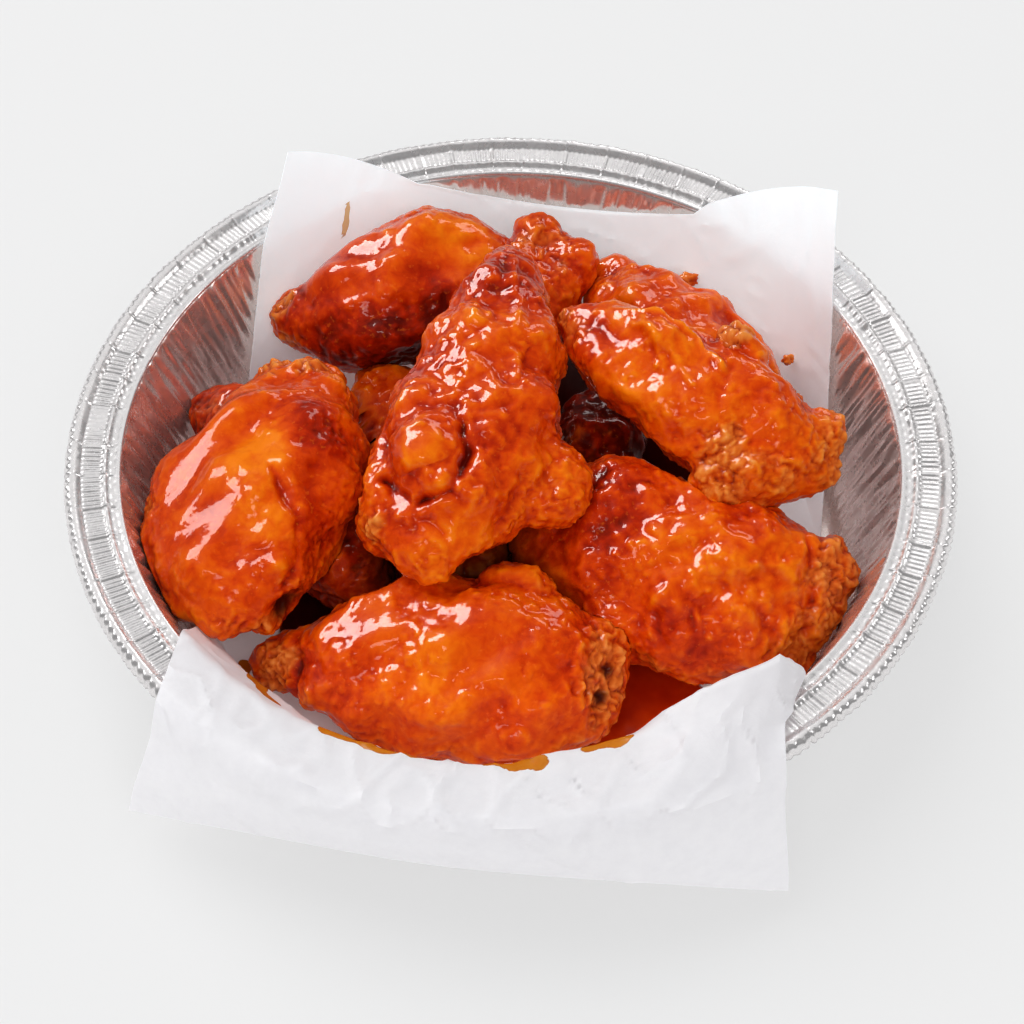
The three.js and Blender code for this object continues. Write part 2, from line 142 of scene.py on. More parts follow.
WINGS = {
    "wing_top": dict(
        tips=([0, 54, 53], [-20, -41, 38]), face=[-0.1, -0.5, 1],
        left=[12, 15, 20, 22, 24, 19, 11], right=[10, 10, 12.5, 17, 20, 21, 18],
        depth=[10, 12, 13, 14, 14, 13, 10], arch=3, seed=3,
        lobes=[
            ([0.68, -6, 10], [12, 10, 8]),
            ([0.67, 22, -1], [11, 12, 8]),
            ([0.56, 8, 12], [7, 6, 5]),
            ([0.84, -12, -3], [8, 9, 8]),
        ],
    ),
    "wing_left": dict(
        tips=([-54, 31, 34], [-68, -48.5, 27.5]), face=[-0.25, -0.25, 1],
        left=[14, 21, 25.5, 25, 21, 17, 14], right=[8, 12, 18, 24, 27, 26, 20],
        depth=[9, 13, 16, 17, 16, 14, 10], arch=2, seed=11,
        lobes=[([0.08, 2, 1], [6, 12, 6]), ([0.84, 6, -4], [8, 9, 7])],
    ),
    "wing_right": dict(
        tips=([12, 34, 50], [79, -9, 37]), face=[0.15, -0.45, 1],
        left=[8, 11, 12, 13, 14, 15, 13], right=[8, 11.5, 15, 17.5, 19.5, 20.5, 16],
        depth=[9, 12, 13, 14, 13, 12, 10], arch=2, seed=17,
        lobes=[
            ([0.56, 13, 6], [7, 6, 6]),
            ([0.72, -16, 4], [8, 7, 6]),
            ([0.88, 5, 1], [7, 8, 6]),
        ],
    ),
    "wing_front": dict(
        tips=([-59, -47, 14], [28, -52, 16]), face=[0, -0.45, 1],
        left=[10, 15, 20, 22, 22, 20, 15], right=[9, 14, 19, 22, 23.5, 25, 25],
        depth=[9, 12, 14, 15, 15, 14, 11], arch=3, seed=23,
        lobes=[
            ([0.05, 1, -2], [8, 8, 7]),
            ([0.9, 4, 0], [8, 10, 8]),
            ([0.7, 20, 4], [9, 6, 6]),
        ],
    ),
    "wing_front_right": dict(
        tips=([-1, -14, 21], [81, -36, 21]), face=[0.1, -0.7, 1],
        left=[18, 25, 25, 22, 20, 20.5, 18], right=[15, 20, 23, 24.5, 24.5, 24, 18],
        depth=[9, 12, 14, 14, 14, 13, 10], arch=3, seed=31,
        lobes=[
            ([0.92, 8, -2], [7, 9, 8]),
            ([0.3, -22, -3], [10, 7, 6]),
            ([0.86, -16, -1], [8, 8, 6]),
        ],
    ),
    "wing_back_left": dict(
        tips=([-61, 53, 22], [4, 70, 33]), face=[-0.1, -0.45, 1],
        left=[9, 13, 16.5, 17.5, 20, 17, 13], right=[11, 16, 19, 20, 19, 17, 12],
        depth=[10, 13, 15, 15, 14, 13, 10], arch=4, seed=41,
        lobes=[([0.08, 3, -1], [7, 9, 7])],
    ),
    "wing_back": dict(
        tips=([12, 80, 33], [-3, 40, 17]), face=[0, 0.1, 1],
        left=[11, 13, 14, 14, 13, 12, 10], right=[11, 13, 14, 14, 13, 12, 10],
        depth=[8, 10, 12, 12, 11, 10, 8], arch=0, seed=47,
        lobes=[([0.08, -3, 4], [6, 7, 5]), ([0.2, 9, 3], [8, 6, 6])],
    ),
    "wing_back_right": dict(
        tips=([21, 66, 25], [70, 30, 24]), face=[0.15, 0.1, 1],
        left=[12, 13, 13, 12, 12, 11, 9], right=[12, 15, 17, 18, 17, 15, 12],
        depth=[9, 12, 13, 13, 12, 11, 9], arch=2, seed=53,
        lobes=[([0.05, 6, 1], [7, 7, 7])],
    ),
    "wing_low_left": dict(
        tips=([-81, 33, 20], [-30, -30, 15]), face=[0, 0, 1],
        left=[11, 14, 16, 17, 16, 14, 11], right=[11, 14, 16, 17, 16, 14, 11],
        depth=[9, 11, 12, 12, 12, 11, 9], arch=0, seed=59, lobes=[],
    ),
    "wing_low_middle": dict(
        tips=([-38, 44, 18], [-6, -28, 16]), face=[0, 0, 1],
        left=[10, 12, 13, 13, 14, 14, 12], right=[10, 12, 13, 13, 14, 14, 12],
        depth=[9, 11, 12, 12, 12, 11, 9], arch=0, seed=61, lobes=[],
    ),
    "wing_low_right": dict(
        tips=([6, -14, 15], [30, 38, 16]), face=[0, 0, 1],
        left=[10, 12, 13, 13, 13, 12, 10], right=[10, 12, 13, 13, 13, 12, 10],
        depth=[9, 11, 12, 12, 12, 11, 9], arch=0, seed=67, lobes=[],
    ),
}
WING_BLUNTNESS = 3.2
SECTION_POWER = 2.3
RELIEF_WAVES = 9
RELIEF_LONGEST = 26.0
RELIEF_SHORTEST = 9.0

# What each wing's skin shows, in its own places [share along, across, above]:
# crags: crisp broken crust, (place, radius, strength from 0 to 1)
# tints: amber thin sauce above 0, red deep sauce below 0, and below 0 on shaded undersides also painted
# shade, (place, radius, strength)
# amber: the whole wing's tint, to which they add; on the low wings its red below 0 is partly painted shade
# bumps: (place, radius, height), with a height below 0 for a dent
# lines: (places in order, half width, height), with a height below 0 for a fold
# hollows: dents where shade is painted into the colour, darkening it to near black, (place, radius)
# glossy: where thick sauce leaves the skin smooth, (place, radius)
# lumpy: how uneven the skin between the crags is; fine: the voxel that the skin is built at

SKIN = {
    "wing_top": dict(
        fine=0.5, lumpy=1.25, amber=0.1,
        crags=[
            ((0.02, 0, 2), 7, 0.5), ((0.89, -15, 3), 7, 0.8), ((0.98, 1, 3), 7, 0.35),
            ((0.2, 14, 4), 8, 0.6), ((0.35, -14, 3), 6, 0.3), ((0.78, 30, 0), 6, 0.3),
        ],
        tints=[
            ((0.12, 3, 11), 15, -0.5), ((0.64, 8, 15), 10, -0.3), ((0.88, -5, 12), 9, -0.5),
            ((0.93, 6, 5), 12, 0.5), ((0.7, 24, 6), 12, 0.5), ((0.4, 4, 16), 9, 0.3),
            ((0.73, -5, 17), 7, 0.55),
        ],
        bumps=[
            ((0.73, -5, 15), 7.5, 3.2), ((0.64, 8.7, 15.6), 4, 1.8), ((0.4, 6, 16), 4, 0.8),
            ((0.3, -3, 14), 4, 0.8), ((0.9, -16, 4), 4, 1.5), ((0.32, 2, 17), 8, -0.8),
        ],
        lines=[
            ([(0.62, 1, 18), (0.72, 5, 16), (0.82, 3, 14), (0.86, -6, 12), (0.8, -14, 11)], 1.3, -3.0),
            ([(0.6, -1, 18), (0.62, -9, 16), (0.7, -15, 12)], 1.2, -1.3),
            ([(0.1, 3, 10), (0.3, 8, 14), (0.48, 12, 14)], 1.4, 0.9),
            ([(0.62, 14, 12), (0.74, 18, 8), (0.86, 16, 6)], 2.0, -1.5),
        ],
    ),
    "wing_left": dict(
        fine=0.5, lumpy=0.5, amber=0.25,
        crags=[
            ((0.06, -3, 7), 8, 1.0), ((0.09, 6, 7), 6, 0.9), ((0.12, 15, 6), 5, 0.6),
            ((0.66, -24, 7), 6, 0.7), ((1.0, 2, 2), 6, 0.5), ((0.93, 9, -4), 6, 0.7),
            ((0.84, 18, 2), 5, 0.5), ((0.8, -19, 4), 6, 0.4),
        ],
        glossy=[((0.45, -10, 17), 16), ((0.7, -8, 15), 15)],
        tints=[
            ((0.5, 4, 19), 9, 1.0), ((0.7, 9, 15), 8, 0.8), ((0.38, 17, 15), 10, -0.9),
            ((0.66, 17, 11), 8, -0.6), ((0.62, -18, 12), 8, -0.4), ((0.87, 12.7, -2), 7, -1.2),
            ((0.95, -5, 5), 9, 0.4),
        ],
        bumps=[
            ((0.05, -4, 8), 4, 2.0), ((0.09, 6, 8), 3.5, 1.8), ((0.14, 13, 6), 3, 1.4),
            ((0.82, 13.6, 9.5), 2.6, 2.4), ((0.87, 12.7, -1.5), 4.2, -3.6), ((0.5, 12, 17), 4, 0.7),
            ((0.76, 9, 14), 3, 0.6),
        ],
        hollows=[((0.87, 12.7, -2.5), 3.6)],
        lines=[
            ([(0.55, 9, 18), (0.68, 17.5, 13), (0.77, 18.7, 8.3), (0.85, 16, 5)], 1.3, -1.7),
            ([(0.58, 15, 16), (0.68, 21, 10), (0.78, 22, 6)], 1.6, 1.0),
            ([(0.55, -20, 12), (0.75, -22, 9), (0.9, -16, 5)], 1.6, -1.2),
        ],
    ),
    "wing_right": dict(
        fine=0.5, lumpy=0.9, amber=0.3,
        crags=[
            ((0.52, 14, 9), 6, 1.0), ((0.74, 15, 4), 6, 0.9), ((0.71, -15, 9), 11, 0.8),
            ((0.84, -10, 9), 10, 0.6),
            ((0.97, 4, 5), 12, 0.7), ((0.84, 2, 12), 8, 0.4), ((0.02, -2, 4), 6, 0.8),
            ((0.88, -14, 6), 6, 0.6), ((0.9, 12, 3), 7, 0.6), ((0.2, -12, 5), 4, 0.5),
            ((0.07, -5, 8), 7, 0.55),
        ],
        tints=[
            ((0.33, -5, 13), 14, 0.6), ((0.14, -6, 9), 9, -0.6), ((0.3, -17, 3), 9, -0.6),
            ((0.6, -4, 14), 9, 0.4), ((0.5, 14, 9), 8, -0.8), ((0.05, 0, 6), 8, -0.6),
        ],
        bumps=[
            ((0.27, -14, 5), 3, 1.2), ((0.51, 14.5, 9.5), 4.2, 2.8), ((0.74, 15, 5), 4, 2.0),
            ((0.72, -13, 10), 6, 1.0), ((0.68, -18, 7), 3, 1.4), ((0.78, -12, 11), 3, 1.4),
        ],
        hollows=[((0.47, 13, 10), 1.6)],
        lines=[
            ([(0.03, 3, 8), (0.14, 6, 12), (0.3, 8, 13), (0.44, 8, 13), (0.55, 4, 15)], 0.9, 2.0),
            ([(0.16, 2, 14), (0.3, 3, 15), (0.42, 0, 16), (0.5, -4, 15)], 1.1, 0.9),
            ([(0.1, 8, 9), (0.3, 11, 10), (0.46, 12, 9)], 0.9, 1.5),
            ([(0.24, 6, 14), (0.34, 1, 15), (0.4, -4, 15)], 1.1, 0.8),
            ([(0.14, -12, 5), (0.3, -17, 3), (0.5, -20, 3), (0.7, -20, 3)], 1.7, 1.4),
        ],
    ),
    "wing_front": dict(
        fine=0.5, lumpy=0.8, amber=0.3,
        crags=[
            ((0.95, 1, 9), 10, 0.8), ((0.94, -7, 7), 9, 0.8), ((0.96, 9, 6), 8, 0.6),
            ((0.04, -2, 4), 8, 0.9), ((0.12, -10, 6), 6, 0.5), ((0.61, -21, 3), 7, 0.4),
            ((0.35, -18, 4), 7, 0.4), ((0.85, -19, 5), 8, 0.5), ((0.74, 20, 6), 7, 0.4),
            ((1.0, -14, 2), 7, 0.7),
        ],
        glossy=[((0.32, 8, 14), 9), ((0.6, 4, 17), 13)],
        tints=[
            ((0.5, -6, 17), 14, 0.5), ((0.93, 0, 8), 10, -0.9), ((0.05, -2, 4), 10, -0.8),
            ((0.13, -6, 9), 7, -0.5), ((0.22, 6, 13), 9, -0.4), ((0.6, -18, 10), 9, 0.3),
        ],
        bumps=[((0.9, 0, 14), 3, 0.8), ((0.96, -1, 10), 3.0, -2.2), ((0.93, -7, 7.5), 2.4, -1.6)],
        hollows=[((0.94, -6.5, 7.5), 2.0), ((0.955, 0, 8), 2.0), ((0.115, -4, 6), 1.8)],
        lines=[
            ([(0.86, 10, 12), (0.88, 0, 14), (0.87, -9, 11)], 1.4, 1.2),
            ([(0.91, 11, 11), (0.92, 2, 12), (0.91, -6, 11)], 1.2, -1.5),
            ([(0.09, 8, 6), (0.1, 0, 8), (0.09, -8, 5)], 1.6, -1.6),
        ],
    ),
    "wing_front_right": dict(
        fine=0.5, lumpy=1.1, amber=0.1,
        crags=[
            ((0.96, 9, 5), 12, 0.7), ((0.97, -3, 5), 12, 0.65), ((0.48, -21, 8), 6, 0.6),
            ((0.88, -14, 7), 11, 0.6), ((0.3, -24, 2), 6, 0.5), ((0.7, -21, 6), 8, 0.5),
            ((0.2, 24, 6), 6, 0.4),
        ],
        tints=[
            ((0.26, 12, 13), 15, -0.8), ((0.27, 0, 15), 9, -0.5), ((0.5, 6, 16), 12, 0.4),
            ((0.72, 2, 14), 11, 0.5), ((0.56, -10, 16), 8, -0.3), ((0.92, -9, 7), 10, 0.8),
            ((0.84, 7, 10), 11, 0.5),
        ],
        bumps=[((0.16, 6, 12), 5, -1.0)],
        lines=[
            ([(0.5, 0, 18), (0.56, -7, 18), (0.62, -14, 14)], 2.2, -0.9),
            ([(0.5, -6, 18), (0.46, -12, 16), (0.5, -18, 12)], 1.7, 1.2),
            ([(0.6, 5, 17), (0.7, 3, 16), (0.76, 6, 14), (0.84, 4, 12)], 1.3, 1.0),
            ([(0.64, -2, 17), (0.74, -4, 16), (0.82, -10, 12)], 1.8, -0.8),
            ([(0.58, -2, 18), (0.6, -8, 17), (0.62, -14, 14)], 0.9, 1.1),
            ([(0.86, 14, 8), (0.9, 4, 10), (0.9, -8, 8)], 1.4, -1.5),
        ],
    ),
    "wing_back_left": dict(
        fine=0.55, lumpy=0.6, amber=0.0,
        crags=[((0.03, 8, 3), 8, 0.8), ((0.02, -4, 1), 7, 0.7), ((0.66, 14, 12), 5, 0.3)],
        glossy=[((0.3, 6, 16), 13), ((0.62, 2, 17), 12)],
        # Painted shade, with deep red sauce: the dark spots along the lower front side, which lies in the
        # other wings' shade.
        tints=[
            ((0.18, -10, 10), 13, -1.1), ((0.39, -17, 12), 14, -1.2), ((0.6, -16, 12), 12, -1.1),
            ((0.74, 6, 14), 12, 0.9), ((0.5, 6, 17), 10, 0.3), ((0.05, 4, 6), 9, -0.7),
        ],
        bumps=[((0.66, 12, 15), 6, 0.8)],
        lines=[([(0.12, 12, 8), (0.14, 0, 12), (0.12, -12, 8)], 2.4, -0.7)],
    ),
    "wing_back": dict(
        fine=0.6, lumpy=0.9, amber=-0.2,
        crags=[((0.15, 0, 8), 12, 0.5), ((0.4, 6, 6), 10, 0.4)],
    ),
    "wing_back_right": dict(
        fine=0.6, lumpy=0.6, amber=0.2,
        crags=[((0.1, 0, 8), 9, 0.5), ((0.6, 12, 6), 6, 0.6)],
        lines=[([(0.2, 6, 11), (0.5, 7, 12), (0.8, 5, 9)], 1.4, 0.8)],
    ),
    # The red amber below 0 of wing_low_left and wing_low_right is partly painted shade, as they lie under the
    # other wings.
    "wing_low_left": dict(
        fine=0.65, lumpy=0.9, amber=-0.7,
        crags=[((0.14, -3, 6), 9, 0.4), ((0.9, 0, 4), 10, 0.4)],
    ),
    "wing_low_middle": dict(
        fine=0.65, lumpy=1.2, amber=0.2,
        crags=[((0.1, 0, 4), 9, 0.4), ((0.95, 0, 4), 9, 0.6), ((0.3, 6, 8), 9, 0.5)],
    ),
    "wing_low_right": dict(
        fine=0.65, lumpy=1.0, amber=-1.2, crags=[((0.5, 0, 6), 9, 0.6), ((0.05, 0, 4), 10, 0.8)],
    ),
}

# The skin's unevenness: the size and the height of each kind, in millimetres.

SWELL = (13, 0.7)
LUMP = (6.8, 0.78)
SMALL_LUMP = (3.6, 0.46)
PEBBLE = (2.5, 0.42)
BLISTER = (4.4, 0.48)
GRAIN = (1.7, 0.10)
CRAG = (8.0, 1.3)
BILLOW = (4.8, 2.0)
DOME = (4.4, 1.1)
BIT = (2.0, 0.55)
CRAG_SUNK = 1.1
SIDE_CRUST = 0.4  # how crisp the wings' narrow sides are

# Then the heap's outline.

SOFTEN_ROUNDS = 40
CLEARANCE = 0.2
WALL_FARTHEST, SHEET_FARTHEST, WING_FARTHEST = 10, 5, 14
HEAP_MIDDLE = [-4, 4]
HEAP_STRETCH = [1.15, 1]


# Sums and noise


def along(stations, u):
    """Catmull and Rom's cubic through evenly spaced stations, at shares u of the way along them."""
    stations = np.asarray(stations, float)
    place = np.clip(u, 0, 1) * (len(stations) - 1)
    i = np.minimum(np.floor(place).astype(int), len(stations) - 2)
    t = place - i
    b, c = stations[i], stations[i + 1]
    a = np.where(i > 0, stations[np.maximum(i - 1, 0)], b)
    d = np.where(i + 2 < len(stations), stations[np.minimum(i + 2, len(stations) - 1)], c)
    return b + 0.5 * t * (c - a + t * (2 * a - 5 * b + 4 * c - d + t * (3 * (b - c) + d - a)))


def smoothstep(x, low, high):
    """Rises from 0 at low to 1 at high as t * t * (3 - 2 t)."""
    t = np.clip((x - low) / (high - low), 0, 1)
    return t * t * (3 - 2 * t)


def scrambled(cells, salt):
    """One fixed number from 0 to 1 for each whole-numbered cell: its three numbers mixed by odd products."""
    c = cells.astype(np.int64)
    h = (c[..., 0] * 73856093) ^ (c[..., 1] * 19349663) ^ (c[..., 2] * 83492791) ^ (salt * 40503)
    h = ((h ^ (h >> 13)) * 1274126177) & 0xFFFFFFFF
    h = ((h ^ (h >> 15)) * 668265263) & 0xFFFFFFFF
    return ((h ^ (h >> 16)) & 0xFFFFFFFF) / 4294967296.0


def noise(points, size, salt):
    """Gradient noise, about -1 to 1: a fixed slope at each corner of a cell, blended by
    t^3 (6 t^2 - 15 t + 10)."""
    q = points / size
    cell = np.floor(q)
    t = q - cell
    w = t * t * t * (t * (t * 6 - 15) + 10)
    total = np.zeros(len(points))
    for corner in np.ndindex(2, 2, 2):
        corner = np.array(corner)
        at = cell + corner
        z = 2 * scrambled(at, salt) - 1
        turn = TURN * scrambled(at, salt + 101)
        flat = np.sqrt(1 - z * z)
        away = t - corner
        slope = away[:, 0] * flat * np.cos(turn) + away[:, 1] * flat * np.sin(turn) + away[:, 2] * z
        total += slope * np.prod(np.where(corner, w, 1 - w), axis=1)
    return 1.6 * total


def layered(points, size, salt, layers=3):
    """Layers of noise, each half the size and half the height of the one before."""
    return sum(noise(points, size / 2**k, salt + 7 * k) / 2**k for k in range(layers))


def waves(kind, points, salt):
    """Noise of a kind's size, times its height."""
    size, height = kind
    return height * noise(points, size, salt)


def warped(points, size, reach, salt):
    """The points moved by up to about reach along each axis by noise of that size."""
    return points + reach * np.stack([noise(points, size, salt + k) for k in (11, 23, 37)], axis=1)


def cobbles(points, size, salt):
    """The distance, in cells, to the nearest of one scattered seed a cell, and that seed's own number."""
    q = points / size
    cell = np.floor(q)
    near = np.full(len(points), 9.0)
    tone = np.zeros(len(points))
    for step in np.ndindex(3, 3, 3):
        at = cell + np.array(step) - 1
        seed = at + np.stack([scrambled(at, salt + k) for k in (1, 2, 3)], axis=1)
        far = np.linalg.norm(q - seed, axis=1)
        tone = np.where(far < near, scrambled(at, salt + 4), tone)
        near = np.minimum(near, far)
    return near, tone


def domed(points, size, salt, warp, reach):
    """Domes of 1 - (distance / reach)^2 on cobbles whose places are warped by (size, reach), and the
    cobbles' numbers."""
    near, tone = cobbles(warped(points, *warp, salt), size, salt + 1)
    return 1 - np.clip(near / reach, 0, 1) ** 2, tone


def relief_of(points, seed):
    """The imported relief: plane waves whose directions, lengths and phases are drawn from the seed."""
    state = seed
    total = np.zeros(points.shape[:-1])
    for _ in range(RELIEF_WAVES):
        draws = []
        for _ in range(4):
            state = (state * 1664525 + 1013904223) % 4294967296
            draws.append(state / 4294967296)
        z, turn = 2 * draws[0] - 1, TURN * draws[1]
        length = RELIEF_SHORTEST + (RELIEF_LONGEST - RELIEF_SHORTEST) * draws[2]
        flat = math.sqrt(1 - z * z)
        way = np.array([flat * math.cos(turn), flat * math.sin(turn), z]) * TURN / length
        total += np.sin(points @ way + TURN * draws[3])
    return total / math.sqrt(RELIEF_WAVES / 2)


# Meshes


def placed(name, data):
    """A new object that holds the data, in the scene."""
    piece = bpy.data.objects.new(name, data)
    bpy.context.scene.collection.objects.link(piece)
    return piece


def give(mesh, values):
    """Puts arrays of one number a point into a mesh, as attributes of those names."""
    for key, numbers in values.items():
        layer = mesh.attributes.new(key, "FLOAT", "POINT")
        layer.data.foreach_set("value", numbers.astype(np.float32))


def mesh_of(name, points, faces, values=None, metres=True):
    """A smooth-shaded mesh object from arrays of points (millimetres) and of three or four-sided faces."""
    mesh = bpy.data.meshes.new(name)
    mesh.from_pydata((points * (MM if metres else 1)).tolist(), [], [f.tolist() for f in faces])
    give(mesh, values or {})
    mesh.shade_smooth()
    return placed(name, mesh)


def grid_faces(rows, columns, closed=False, start=0):
    """Four-sided faces between the neighbours of a grid whose points are numbered row by row."""
    across = columns if closed else columns - 1
    i, j = np.meshgrid(np.arange(rows - 1), np.arange(across), indexing="ij")
    a = i * columns + j
    b = i * columns + (j + 1) % columns
    return np.stack([a, b, b + columns, a + columns], axis=-1).reshape(-1, 4) + start


def fan(pole, start, sides):
    """Triangles from a pole to the ring of points that begins at start."""
    j = np.arange(sides)
    return np.stack([np.full(sides, pole), start + j, start + (j + 1) % sides], axis=1)


def band(first, second, sides):
    """Four-sided faces between the rings of points that begin at first and at second."""
    j = np.arange(sides)
    k = (j + 1) % sides
    return np.stack([first + j, first + k, second + k, second + j], axis=1)


def closed_rings(rings, first_pole, last_pole):
    """Rings of points (ring, side, 3) and a pole at each end, as points and faces."""
    count, sides = rings.shape[:2]
    pole = count * sides
    points = np.concatenate([rings.reshape(-1, 3), [first_pole, last_pole]])
    ends = [*fan(pole, 0, sides)[:, ::-1], *fan(pole + 1, pole - sides, sides)]
    return points, [*grid_faces(count, sides, closed=True), *ends]


def ball(rings, sides):
    """Directions in rings from one pole of a ball to the other, (ring, side, 3), without the poles."""
    slant = (math.pi * np.arange(1, rings) / rings)[:, None]
    turn = TURN * np.arange(sides) / sides
    over = -np.cos(slant) + 0 * turn
    return np.stack([over, np.sin(slant) * np.cos(turn), np.sin(slant) * np.sin(turn)], axis=-1)


def read_mesh(mesh):
    """A mesh's points and normals, as arrays."""
    points = np.empty(len(mesh.vertices) * 3)
    mesh.vertices.foreach_get("co", points)
    normals = np.empty(len(mesh.vertices) * 3, dtype=np.float32)
    mesh.vertex_normals.foreach_get("vector", normals)
    return points.reshape(-1, 3), normals.reshape(-1, 3).astype(float)


def read_edges(mesh):
    """A mesh's edges, as pairs of point numbers."""
    edges = np.empty(len(mesh.edges) * 2, dtype=np.int32)
    mesh.edges.foreach_get("vertices", edges)
    return edges.reshape(-1, 2)


def move_mesh(mesh, points):
    """Puts a mesh's points where an array says."""
    mesh.vertices.foreach_set("co", points.ravel())
    mesh.update()


def finished_mesh(piece):
    """The piece's mesh with its modifiers applied."""
    graph = bpy.context.evaluated_depsgraph_get()
    mesh = bpy.data.meshes.new_from_object(piece.evaluated_get(graph))
    piece.modifiers.clear()
    old = piece.data
    piece.data = mesh
    bpy.data.meshes.remove(old)
    return mesh


def spread_means(values, edges, rounds):
    """Values at the points, each round replaced by the mean of their neighbours' along the edges."""
    count = len(values)
    share = np.bincount(edges.ravel(), minlength=count).astype(float)[:, None]
    for _ in range(rounds):
        columns = [
            np.bincount(edges[:, 0], column[edges[:, 1]], count)
            + np.bincount(edges[:, 1], column[edges[:, 0]], count)
            for column in values.T
        ]
        values = np.stack(columns, axis=1) / np.maximum(share, 1)
    return values


# Wings


def axes_of(wing):
    """The wing's start, its way from tip to tip, and its forward, left and up directions."""
    start = np.array(wing["tips"][0], float)
    way = np.array(wing["tips"][1], float) - start
    forward = way / np.linalg.norm(way)
    left = np.cross(wing["face"], forward)
    left /= np.linalg.norm(left)
    return start, way, forward, left, np.cross(forward, left)


def place_on(wing, spot):
    """The point at [share along, across, above] of a wing."""
    start, way, forward, left, up = axes_of(wing)
    return start + way * spot[0] + left * spot[1] + up * spot[2]


def arch_at(wing, u):
    """How high the line between the tips is arched at shares u of the way along it: a parabola."""
    return wing["arch"] * 4 * u * (1 - u)


def wing_body(wing, rings=110, sides=96):
    """Rings round the arched line from tip to tip; each section is |cos|^(2/p), |sin|^(2/p) times the half
    width and half depth there, and closes as the square root of 1 - |2u - 1|^bluntness."""
    start, way, forward, left, up = axes_of(wing)
    u = (1 - np.cos(math.pi * np.arange(1, rings) / rings)) / 2
    angle = TURN * np.arange(sides) / sides
    close = np.sqrt(1 - np.abs(2 * u - 1) ** WING_BLUNTNESS)[:, None, None]
    cos, sin = np.cos(angle), np.sin(angle)
    power = 2 / SECTION_POWER
    half = np.where(cos > 0, along(wing["left"], u)[:, None], along(wing["right"], u)[:, None])
    across = np.sign(cos) * np.abs(cos) ** power * half
    above = np.sign(sin) * np.abs(sin) ** power * along(wing["depth"], u)[:, None]
    line = start + u[:, None] * way + arch_at(wing, u)[:, None] * up
    out = (across[..., None] * left + above[..., None] * up) * close
    points = line[:, None, :] + out
    unit = out / np.linalg.norm(out, axis=-1, keepdims=True)
    points = points + unit * (relief_of(points, wing["seed"])[..., None] * close)
    return closed_rings(points, start, start + way)


def wing_lobe(wing, spot, radii, rings=28, sides=40):
    """An ellipsoid on the wing's axes, its radius waved by half the relief of the next seed."""
    start, way, forward, left, up = axes_of(wing)
    centre = place_on(wing, spot)
    f, l, k = np.split(ball(rings, sides) * radii, 3, axis=-1)
    out = f * forward + l * left + k * up
    points = centre + out
    unit = out / np.linalg.norm(out, axis=-1, keepdims=True)
    points = points + unit * 0.5 * relief_of(points, wing["seed"] + 1)[..., None]
    return closed_rings(points, centre - forward * radii[0], centre + forward * radii[0])


def joined(shapes):
    """Several shapes' points and faces as one."""
    points, faces, count = [], [], 0
    for some_points, some_faces in shapes:
        points.append(some_points)
        faces.extend(face + count for face in some_faces)
        count += len(some_points)
    return np.concatenate(points), faces


def line_distance(points, places):
    """The distance from each point to the nearest of the straight runs between the places."""
    nearest = np.full(len(points), 1e9)
    for a, b in zip(places[:-1], places[1:]):
        way = b - a
        share = np.clip((points - a) @ way / (way @ way), 0, 1)
        nearest = np.minimum(nearest, np.linalg.norm(points - a - share[:, None] * way, axis=1))
    return nearest


def distance_to(points, wing, spot):
    """How far each point is from a place on a wing."""
    return np.linalg.norm(points - place_on(wing, spot), axis=1)


def hill(far, radius, power=2):
    """Falls from 1 at distance 0 as exp(-(distance / radius)^power)."""
    return np.exp(-((far / radius) ** power))


def spots_share(points, wing, spots, ragged):
    """0 to 1 at each point: the strongest of the spots (place, radius, strength) that reaches it, with a
    broken edge."""
    share = np.zeros(len(points))
    for spot, radius, strength in spots:
        far = distance_to(points, wing, spot) + ragged
        share = np.maximum(share, strength * (1 - smoothstep(far, 0.4 * radius, 1.25 * radius)))
    return share


def crust_share(points, wing, skin):
    """How much of a point is crisp crust, 0 to 1: what the crags give it, and broken crust along the wing's
    two narrow sides. Also the crags' own share, which is browner."""
    ragged = 3.5 * layered(points, 6, wing["seed"] + 300, 3)
    crag = spots_share(points, wing, skin["crags"], ragged)
    start, way, _, left, up = axes_of(wing)
    u = np.clip((points - start) @ way / (way @ way), 0, 1)
    above = (points - start) @ up - arch_at(wing, u)
    across = np.abs((points - start) @ left)
    side = 1 - smoothstep(above / np.maximum(across, 4) + 0.09 * ragged, 0.05, 0.5)
    return np.maximum(crag, SIDE_CRUST * side), crag


def sauce_and_shade_tone(points, wing, skin):
    """The amber of thin sauce above 0 and the red of deep sauce below 0, partly painted shade on shaded
    undersides: the wing's own, with its spots.
    """
    ragged = 2.5 * layered(points, 7, wing["seed"] + 330, 3)
    tints = skin.get("tints", [])
    thin = [(place, radius, tint) for place, radius, tint in tints if tint > 0]
    deep = [(place, radius, -tint) for place, radius, tint in tints if tint < 0]
    depth = spots_share(points, wing, thin, ragged) - spots_share(points, wing, deep, ragged)
    return skin["amber"] + depth


